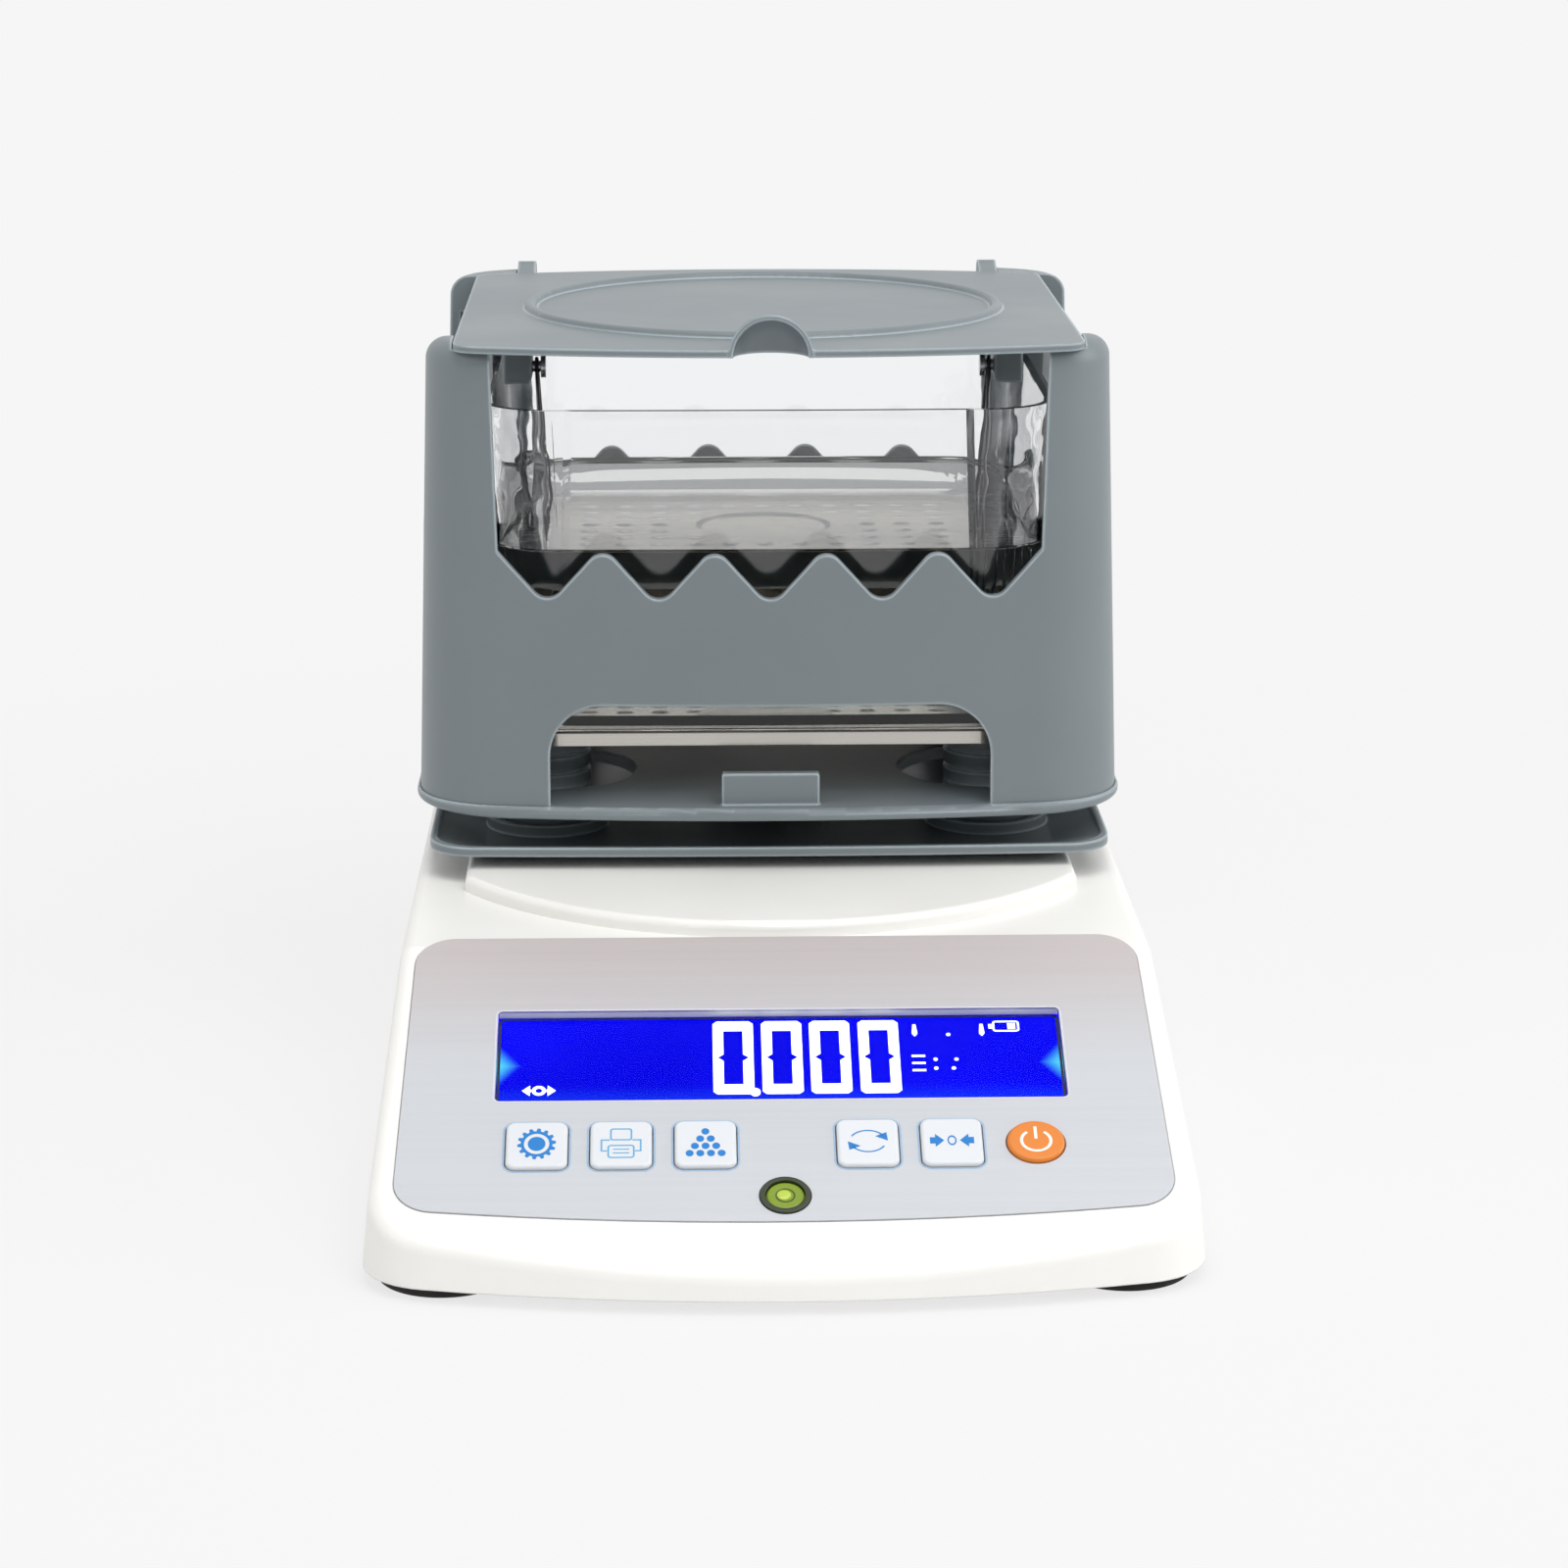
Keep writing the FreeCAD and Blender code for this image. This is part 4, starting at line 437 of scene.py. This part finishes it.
SLOTS = {
    "white_abs": moulded("white_abs", srgb(245, 244, 240), roughness=0.38, grain=1500.0,
                         strength=0.08, bevel=0.0006, mottle=0.012),
    "silver_label": silver_label(),
    "clear_window": clear("clear_window", srgb(250, 252, 255), ior=1.08, roughness=0.03, ripple=0.0),
    "display_blue": display_blue(),
    "board_green": moulded("board_green", srgb(18, 84, 44), roughness=0.35, grain=600.0,
                           strength=0.15),
    "switch_black": moulded("switch_black", srgb(26, 26, 28), roughness=0.5),
    "key_pale": moulded("key_pale", srgb(222, 225, 229), roughness=0.34, grain=2000.0,
                        strength=0.05, bevel=0.0003, mottle=0.015),
    "key_orange": moulded("key_orange", srgb(228, 132, 46), roughness=0.36, grain=2000.0,
                          strength=0.05, bevel=0.0003, mottle=0.03),
    "level_ring": moulded("level_ring", srgb(46, 54, 30), roughness=0.25),
    "level_green": moulded("level_green", srgb(122, 146, 32), roughness=0.08, grain=300.0,
                           strength=0.03, bevel=0.0, mottle=0.12),
    "aluminium": brushed("aluminium", srgb(205, 206, 208), roughness=0.32),
    "steel_screw": brushed("steel_screw", srgb(190, 190, 194), roughness=0.28,
                           stretch=(700, 700, 40)),
    "stainless": brushed("stainless", srgb(196, 192, 186), roughness=0.24, stretch=(8, 700, 700),
                         strength=0.05),
    "brass": brushed("brass", srgb(196, 164, 96), stretch=(500, 500, 60)),
    "rubber_black": moulded("rubber_black", srgb(24, 23, 22), roughness=0.75, grain=900.0,
                            strength=0.3),
    "battery_case": moulded("battery_case", srgb(44, 46, 52), roughness=0.5),
    "socket_black": moulded("socket_black", srgb(22, 22, 23), roughness=0.45),
    # Grey plastic with a strong painted highlight along its sharp edges.
    "grey_abs": moulded("grey_abs", srgb(118, 127, 131), roughness=0.38, grain=1500.0,
                        strength=0.08, bevel=0.0013, mottle=0.03, painted_edge_highlight=3.6),
    "clear_tank": clear("clear_tank", srgb(250, 251, 252), ior=1.49, roughness=0.01, ripple=0.7,
                        wavy_corners=True),
}

# Nodes that share a slot but have a finish of their own
FINISHES = {
    "basket_hangers": brushed("wire_steel", srgb(104, 104, 108), roughness=0.35),
    "basket": brushed("basket_steel", srgb(178, 172, 162), roughness=0.13, stretch=(60, 160, 60),
                      strength=0.9),
}

INK_BLUE = printed("ink_blue", srgb(14, 124, 202))
INK_FINE = printed("ink_fine", srgb(96, 168, 214))
INK_PALE = printed("ink_pale", srgb(158, 184, 210))
INK_WHITE = printed("ink_white", srgb(250, 246, 238))
INK_MARGIN = printed("ink_margin", srgb(216, 213, 226))
INK_LEVEL = printed("ink_level", srgb(58, 74, 18))
LEVEL_BUBBLE = moulded("level_bubble", srgb(186, 208, 74), roughness=0.08, grain=300.0,
                       strength=0.02, bevel=0.0, mottle=0.03)
LCD_WHITE = printed("lcd_white", srgb(248, 252, 255), roughness=0.4, glow=0.95)
LCD_DARK = printed("lcd_dark", srgb(8, 12, 60), roughness=0.4)
WATER = clear("water", srgb(243, 243, 238), ior=1.333, roughness=0.0, ripple=0.1, specular=0.25)


def dress_nodes():
    """Gives each CAD node its slot's material, or a finish of its own."""
    for row in frame["record"]["subparts"]:
        node = frame["nodes"][row["node"]]
        node.data.materials.clear()
        node.data.materials.append(FINISHES.get(row["node"], SLOTS[row["material_slot"]]))


# Flat shapes, as lists of faces with their corners in millimetres

def disc(x, y, radius, count, stretch=1.0):
    """A round face."""
    return [[(x + radius * math.cos(math.tau * i / count),
              y + radius * stretch * math.sin(math.tau * i / count)) for i in range(count)]]


def band(inner, outer, closed=True):
    """Faces between two lines with equally many points."""
    faces = []
    count = len(inner)
    for i in range(count if closed else count - 1):
        j = (i + 1) % count
        faces.append([inner[i], outer[i], outer[j], inner[j]])
    return faces


def arc_line(radius, start, end, count, y=0.0, stretch=1.0):
    """Points along an arc over x = 0, its angles in degrees."""
    points = []
    for i in range(count):
        angle = math.radians(start + (end - start) * i / (count - 1))
        points.append((radius * math.cos(angle), y + radius * stretch * math.sin(angle)))
    return points


def arc_band(radius, width, start, end, count, y=0.0, stretch=1.0):
    """A bent stroke."""
    inner = arc_line(radius - width / 2, start, end, count, y, stretch)
    outer = arc_line(radius + width / 2, start, end, count, y, stretch)
    return band(inner, outer, closed=False)


def ring(x, y, radius, width, count, stretch=1.0):
    """A round stroke."""
    inner = disc(x, y, radius - width / 2, count, stretch)[0]
    outer = disc(x, y, radius + width / 2, count, stretch)[0]
    return band(inner, outer)


def quarters(steps):
    """Each quarter turn's number, its signs of x and y, and its angles."""
    for turn, (sx, sy) in enumerate(((1, 1), (-1, 1), (-1, -1), (1, -1))):
        yield turn, sx, sy, [math.pi / 2 * (turn + i / steps) for i in range(steps + 1)]


def rounded_line(x, y, half_x, half_y, corner):
    """Points round a rectangle with round corners."""
    points = []
    for _, sx, sy, angles in quarters(CORNER_STEPS):
        for angle in angles:
            points.append((x + sx * (half_x - corner) + corner * math.cos(angle),
                           y + sy * (half_y - corner) + corner * math.sin(angle)))
    return points


def frame_band(x, y, half_x, half_y, corner, width):
    """A stroke round a rectangle, growing outwards."""
    inner = rounded_line(x, y, half_x, half_y, corner)
    outer = rounded_line(x, y, half_x + width, half_y + width, corner + width)
    return band(inner, outer)


def bar(x0, y0, x1, y1):
    """A rectangle."""
    return [[(x0, y0), (x1, y0), (x1, y1), (x0, y1)]]


def bar_pair(x0, y0, x1, y1):
    """A rectangle and its mirror image across x = 0."""
    return bar(-x1, y0, -x0, y1) + bar(x0, y0, x1, y1)


# Pieces

def add_piece(name, bm, material, body, matrix):
    """Places a finished mesh as a piece that rides on a body."""
    mesh = bpy.data.meshes.new(name)
    bm.to_mesh(mesh)
    bm.free()
    mesh.materials.append(material)
    piece = bpy.data.objects.new(name, mesh)
    bpy.context.scene.collection.objects.link(piece)
    piece.matrix_world = matrix
    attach(piece, body)


def add_print(name, faces, level, thickness, material, body, matrix=PANEL):
    """A thin raised print: its faces joined and thickened from a level over the panel."""
    bm = bmesh.new()
    for face in faces:
        bm.faces.new([bm.verts.new((x * MM, y * MM, level * MM)) for x, y in face])
    bmesh.ops.remove_doubles(bm, verts=bm.verts, dist=MERGE_DISTANCE * MM)
    bmesh.ops.recalc_face_normals(bm, faces=bm.faces)
    for face in bm.faces:
        if face.normal.z < 0:
            face.normal_flip()
    grown = bmesh.ops.extrude_face_region(bm, geom=list(bm.faces))
    lifted = [item for item in grown["geom"] if isinstance(item, bmesh.types.BMVert)]
    bmesh.ops.translate(bm, verts=lifted, vec=(0, 0, thickness * MM))
    bmesh.ops.recalc_face_normals(bm, faces=bm.faces)
    add_piece(name, bm, material, body, matrix)


def add_loop(bm, points, z):
    """A closed loop of corners at one height."""
    return [bm.verts.new((x * MM, y * MM, z * MM)) for x, y in points]


def skin(bm, low, high, smooth):
    """Faces between two loops of equally many corners."""
    count = len(low)
    for i in range(count):
        j = (i + 1) % count
        bm.faces.new((low[i], low[j], high[j], high[i])).smooth = smooth


# Display

def lcd_place(across, down):
    """A place on the display from its shares, left to right and top to bottom."""
    return ((across - 0.5) * DISPLAY_WIDTH, -DISPLAY_DOWN + (0.5 - down) * DISPLAY_HEIGHT)


def zero_digit(x, y):
    """The six lit segments of a nought, cut slantwise where one meets the next."""
    half_width = DIGIT_WIDTH / 2
    edge = half_width - DIGIT_ROUND
    near = half_width - DIGIT_STROKE_X
    elbow = half_width - 0.55 * DIGIT_STROKE_X
    notch = 0.45 * DIGIT_STROKE_X
    faces = []
    for sy in (-1, 1):
        top = y + sy * DIGIT_HEIGHT / 2
        inner = top - sy * DIGIT_STROKE_Y
        elbow_y = top - sy * 0.35 * DIGIT_STROKE_Y
        gap = sy * DIGIT_GAP
        faces.append([(x - edge, top), (x + edge, top), (x + elbow, elbow_y), (x + near, inner),
                      (x - near, inner), (x - elbow, elbow_y)])
        for sx in (-1, 1):
            faces.append([(x + sx * edge, top - gap), (x + sx * half_width, top - sy * DIGIT_ROUND),
                          (x + sx * half_width, y + gap), (x + sx * (half_width - notch), y + gap),
                          (x + sx * near, y + sy * notch + gap), (x + sx * near, inner - gap),
                          (x + sx * (half_width - 0.5 * DIGIT_STROKE_X), elbow_y - gap)])
    return faces


def stable_sign(x, y):
    """A small ring between two arrowheads."""
    faces = ring(x, y, 1.3, 0.9, 24)
    for way in (-1, 1):
        faces.append([(x + way * 1.9, y - 0.5), (x + way * 4.0, y), (x + way * 1.9, y + 0.5)])
        faces.append([(x + way * 2.2, y - 1.9), (x + way * 4.2, y), (x + way * 2.2, y + 1.9)])
    return faces


def battery_sign(x, y):
    """A battery with its pole at the left and a part of its charge."""
    case = frame_band(x, y, 2.9, 1.5, 0.4, 0.5)
    pole = bar(x - 4.4, y - 0.8, x - 3.4, y + 0.8)
    charge = bar(x + 0.4, y - 1.1, x + 2.4, y + 1.1)
    return case + pole + charge


def tick_sign(x, y):
    """A short upright mark with a pointed top."""
    return [[(x - 0.7, y - 1.2), (x, y - 2.3), (x + 0.7, y - 1.2), (x + 0.4, y + 2.2),
             (x - 0.4, y + 2.2)]]


def dot_sign(x, y):
    """A small dot."""
    return disc(x, y, 0.55, 12)


def bar_sign(x, y):
    """A short level bar, where the photograph has a letter."""
    return bar(x - 1.7, y - 0.35, x + 1.7, y + 0.35)


def build_display():
    """Lit segments and small signs on the blue display, and the lines round it."""
    signs = [(zero_digit, [(across, DIGITS_DOWN) for across in DIGITS_ACROSS]),
             (stable_sign, [STABLE_PLACE]), (battery_sign, [BATTERY_PLACE]),
             (tick_sign, TICK_PLACES), (dot_sign, DOT_PLACES), (bar_sign, BAR_PLACES)]
    faces = disc(*lcd_place(*POINT_PLACE), 1.3, 24, 1.15)
    for sign, places in signs:
        for place in places:
            faces += sign(*lcd_place(*place))
    level = LCD_LEVEL + SEGMENT_LIFT
    add_print("lcd_segments", faces, level, SEGMENT_THICKNESS, LCD_WHITE, "body")
    half_width = DISPLAY_WIDTH / 2
    half_height = DISPLAY_HEIGHT / 2
    border = frame_band(0, -DISPLAY_DOWN, half_width - 0.75, half_height - 0.75, 1.2, 0.7)
    add_print("lcd_border", border, level, SEGMENT_THICKNESS, LCD_DARK, "body")
    margin = frame_band(0, -DISPLAY_DOWN, half_width + 0.15, half_height + 0.15, 1.4, 0.5)
    add_print("display_margin", margin, OVERLAY_LEVEL + PRINT_LIFT, PRINT_THICKNESS, INK_MARGIN,
              "body")


# Keys

def gear_icon():
    """A gear wheel with a solid middle."""
    teeth = 14
    tooth_height = 0.42
    rim_inner = 3.1
    rim_outer = 4.3
    middle = 2.15
    count = 12 * teeth
    inner = []
    outer = []
    for i in range(count):
        angle = math.tau * i / count
        wave = max(-1, min(1, 2.0 * math.sin(angle * teeth)))
        radius = rim_outer + tooth_height * wave
        inner.append((rim_inner * math.cos(angle), rim_inner * SIGN_STRETCH * math.sin(angle)))
        outer.append((radius * math.cos(angle), radius * SIGN_STRETCH * math.sin(angle)))
    return band(inner, outer) + disc(0, 0, middle, 40, SIGN_STRETCH)


def printer_icon():
    """A printer with a sheet above and one below."""
    stroke = 0.42
    top = 1.35
    bottom = -2.9
    side = 5.0
    sheet_above = frame_band(0, 3.1, 2.3, 1.7, 0.4, stroke)
    sheet_below = frame_band(0, bottom, 2.9, 1.9, 0.5, stroke)
    casing = (bar_pair(2.75, top - stroke, 4.6, top) + bar_pair(side - stroke, bottom, side, top)
              + bar_pair(3.4, bottom, side - stroke, bottom + stroke))
    text_lines = bar(-2.0, -2.3, 2.0, -1.95) + bar(-2.0, -3.6, 2.0, -3.25)
    return sheet_above + casing + sheet_below + text_lines


def pyramid_icon():
    """A pyramid of ten dots."""
    pitch_x = 2.6
    pitch_y = 2.55
    top = 3.9
    faces = []
    for row in range(4):
        for i in range(row + 1):
            faces += disc((i - row / 2) * pitch_x, top - row * pitch_y, 0.98, 20, SIGN_STRETCH)
    return faces


def turning_icon():
    """Two arrows that turn about each other."""
    radius = 4.4
    flatness = 0.85
    sweep = 120
    faces = []
    for way, start in ((-1, 212), (1, 32)):
        faces += arc_band(radius, 0.45, start, start + sweep, 24, stretch=flatness)
        x, y = arc_line(radius, start, start + sweep, 24, stretch=flatness)[0]
        faces.append([(x + way * 1.2, y - way * 1.9), (x + way * 0.9, y + way * 1.1),
                      (x - way * 1.9, y - way * 0.3)])
    return faces


def zero_icon():
    """Two arrows that point at a ring."""
    tip = 1.9
    head_end = 4.1
    faces = ring(0, 0, 0.95, 0.34, 28, 1.55)
    for way in (-1, 1):
        faces.append([(way * tip, 0), (way * head_end, 2.3), (way * head_end, -2.3)])
    return faces + bar_pair(head_end, -1.1, 5.4, 1.1)


def power_icon():
    """The power sign: an open ring and a bar."""
    return arc_band(3.6, 0.75, 125, 415, 48, y=-0.3) + bar(-0.38, 0.3, 0.38, 4.6)


def build_keys():
    """Pictograms on the keys, and the pale lines printed round the square ones."""
    icons = [gear_icon, printer_icon, pyramid_icon, turning_icon, zero_icon, power_icon]
    inks = [INK_BLUE, INK_FINE, INK_BLUE, INK_BLUE, INK_BLUE, INK_WHITE]
    for name, x, icon, ink in zip(KEY_NAMES, KEY_X, icons, inks):
        matrix = PANEL @ Matrix.Translation(Vector((x, -KEY_ROW_DOWN, 0)) * MM)
        add_print(name + "_sign", icon(), KEY_TOP_LEVEL + PRINT_LIFT, PRINT_THICKNESS, ink, name,
                  matrix)
    lines = []
    for x in KEY_X[:SQUARE_KEYS]:
        lines += frame_band(x, -KEY_ROW_DOWN, KEY_WIDTH / 2 + KEY_LINE_GAP,
                            KEY_HEIGHT / 2 + KEY_LINE_GAP, KEY_CORNER + KEY_LINE_GAP,
                            KEY_LINE_WIDTH)
    add_print("key_outlines", lines, OVERLAY_LEVEL + PRINT_LIFT, PRINT_THICKNESS, INK_PALE, "body")


# Bubble level

def build_level():
    """The ring printed on the level's glass, and its bubble as a low dome on the glass."""
    level = OVERLAY_LEVEL + PRINT_LIFT
    place = PANEL @ Matrix.Translation(Vector((0, -LEVEL_DOWN, 0)) * MM)
    circle = ring(0, 0, 2.2, 0.4, 40)
    add_print("level_circle", circle, level, PRINT_THICKNESS, INK_LEVEL, "body", place)
    bm = bmesh.new()
    loops = []
    steps = 6
    for i in range(steps):
        angle = math.pi / 2 * i / steps
        outline = disc(*BUBBLE_PLACE, BUBBLE_RADIUS * math.cos(angle), BUBBLE_CORNERS)[0]
        loops.append(add_loop(bm, outline, level + BUBBLE_HEIGHT * math.sin(angle)))
    top = add_loop(bm, [BUBBLE_PLACE], level + BUBBLE_HEIGHT)[0]
    bm.faces.new(reversed(loops[0]))
    for low, high in zip(loops, loops[1:]):
        skin(bm, low, high, smooth=True)
    for i in range(BUBBLE_CORNERS):
        corner = loops[-1][i]
        following = loops[-1][(i + 1) % BUBBLE_CORNERS]
        bm.faces.new((corner, following, top)).smooth = True
    add_piece("level_bubble", bm, LEVEL_BUBBLE, "body", place)


# Water

def tank_line(z, inset):
    """Points round the tank's inside at one height: straight sides, bowed ends, round corners."""
    share = (z - TANK_FLOOR_Z) / (TANK_RIM_Z - TANK_FLOOR_Z)
    half_x = TANK_HALF_WIDTH + TANK_DRAFT * share - TANK_WALL - inset
    half_y = TANK_HALF_DEPTH + TANK_DRAFT * share - TANK_WALL - inset
    corner = TANK_CORNER - TANK_WALL - inset
    middle_x = half_x - corner
    middle_y = half_y - corner - middle_x ** 2 / (2 * TANK_BOW)
    points = []
    for turn, sx, sy, angles in quarters(TANK_CORNER_STEPS):
        for angle in angles:
            points.append((sx * middle_x + corner * math.cos(angle),
                           STAGE_Y + sy * middle_y + corner * math.sin(angle)))
        if turn in (0, 2):
            for i in range(1, TANK_CORNER_STEPS):
                x = sx * middle_x * (1 - 2 * i / TANK_CORNER_STEPS)
                points.append((x, STAGE_Y + sy * (half_y - x ** 2 / (2 * TANK_BOW))))
    return points


def build_water():
    """Water in the tank, its surface drawn up a little along the wall."""
    bm = bmesh.new()
    levels = [(TANK_FLOOR_Z - WATER_FLOOR_BITE, -WATER_WALL_BITE)]
    levels += [(WATER_Z + rise, inset) for rise, inset in MENISCUS]
    loops = [add_loop(bm, tank_line(z, inset), z) for z, inset in levels]
    bm.faces.new(reversed(loops[0]))
    for low, high in zip(loops, loops[1:]):
        skin(bm, low, high, smooth=low is not loops[0])
    bm.faces.new(loops[-1])
    bmesh.ops.recalc_face_normals(bm, faces=bm.faces)
    add_piece("water", bm, WATER, "body", Matrix.Identity(4))


# Floor, light and camera

def ray_kinds(tree, *kinds):
    """1 for light paths of any of these kinds."""
    path = add(tree, "ShaderNodeLightPath", {})
    found = path.outputs[kinds[0]]
    for kind in kinds[1:]:
        found = math_node(tree, "MAXIMUM", found, path.outputs[kind])
    return found


def mix_shaders(tree, share, first, second):
    """One shader, or a share of another."""
    return add(tree, "ShaderNodeMixShader", {"Fac": share, 1: first, 2: second}).outputs["Shader"]


def build_floor():
    """A wide pale floor that keeps the object's shadow."""
    size = FLOOR_HALF_SIZE
    mesh = bpy.data.meshes.new("floor")
    mesh.from_pydata([(-size, -size, 0), (size, -size, 0), (size, size, 0), (-size, size, 0)], [],
                     [(0, 1, 2, 3)])
    material, tree, shader = new_material("floor_white", grey(0.86), 0.9)
    vector = coordinates(tree)
    paper = noise(tree, vector, PAPER_SCALE, detail=2.0)
    plug(tree, shader, {"Base Color": tint(tree, paper, grey(0.85), grey(0.87))})
    away = vector_node(tree, "LENGTH", vector)["Value"]
    backdrop = map_range(tree, away, PALE_NEAR, PALE_FAR, PALE_SHARE_NEAR,
                         interpolation="SMOOTHSTEP")
    seen = ray_kinds(tree, "Is Camera Ray", "Is Glossy Ray", "Is Transmission Ray")
    bright = add(tree, "ShaderNodeEmission", {"Color": grey(PALE)}).outputs["Emission"]
    surface = mix_shaders(tree, math_node(tree, "MULTIPLY", seen, backdrop),
                          shader.outputs["BSDF"], bright)
    plug(tree, tree.nodes["Material Output"], {"Surface": surface})
    mesh.materials.append(material)
    floor = bpy.data.objects.new("floor", mesh)
    bpy.context.scene.collection.objects.link(floor)


def build_world():
    """Near white to the camera; its light grows upwards and its reflection fades to the front."""
    world = bpy.data.worlds.new("studio")
    bpy.context.scene.world = world
    world.use_nodes = True
    tree = world.node_tree
    direction = axes(tree, "Generated")
    diffuse = tree.nodes["Background"]
    plug(tree, diffuse, {
        "Color": grey(1.0),
        "Strength": map_range(tree, direction["Z"], -0.2, 0.9, AMBIENT_BELOW, AMBIENT_ABOVE),
    })
    mirrored = add(tree, "ShaderNodeBackground", {
        "Color": grey(1.0),
        "Strength": map_range(tree, direction["Y"], -0.85, 0.0, MIRRORED_FRONT, PALE),
    })
    seen = add(tree, "ShaderNodeBackground", {"Color": grey(PALE)})
    lit = mix_shaders(tree, ray_kinds(tree, "Is Glossy Ray"), diffuse.outputs["Background"],
                      mirrored.outputs["Background"])
    surface = mix_shaders(tree, ray_kinds(tree, "Is Camera Ray", "Is Transmission Ray"), lit,
                          seen.outputs["Background"])
    plug(tree, tree.nodes["World Output"], {"Surface": surface})


def build_lamp(name, place, size, power):
    """A soft square lamp turned to the object."""
    data = bpy.data.lights.new(name, "AREA")
    data.shape = "SQUARE"
    data.size = size
    data.energy = power
    lamp = bpy.data.objects.new(name, data)
    lamp.location = place
    direction = Vector(LAMP_TARGET) - Vector(place)
    lamp.rotation_euler = direction.to_track_quat("-Z", "Y").to_euler()
    bpy.context.scene.collection.objects.link(lamp)


def build_camera():
    """The photograph's viewing angle."""
    data = bpy.data.cameras.new("camera")
    data.lens = CAMERA_LENS
    data.sensor_width = CAMERA_SENSOR
    data.clip_end = CAMERA_REACH
    camera = bpy.data.objects.new("camera", data)
    camera.location = CAMERA_PLACE
    camera.rotation_euler = (CAMERA_TILT, 0, CAMERA_TURN)
    bpy.context.scene.collection.objects.link(camera)
    bpy.context.scene.camera = camera


dress_nodes()
build_display()
build_keys()
build_level()
build_water()
build_floor()
build_world()
for lamp in LAMPS:
    build_lamp(**lamp)
build_camera()
bpy.context.scene.view_settings.view_transform = "Standard"
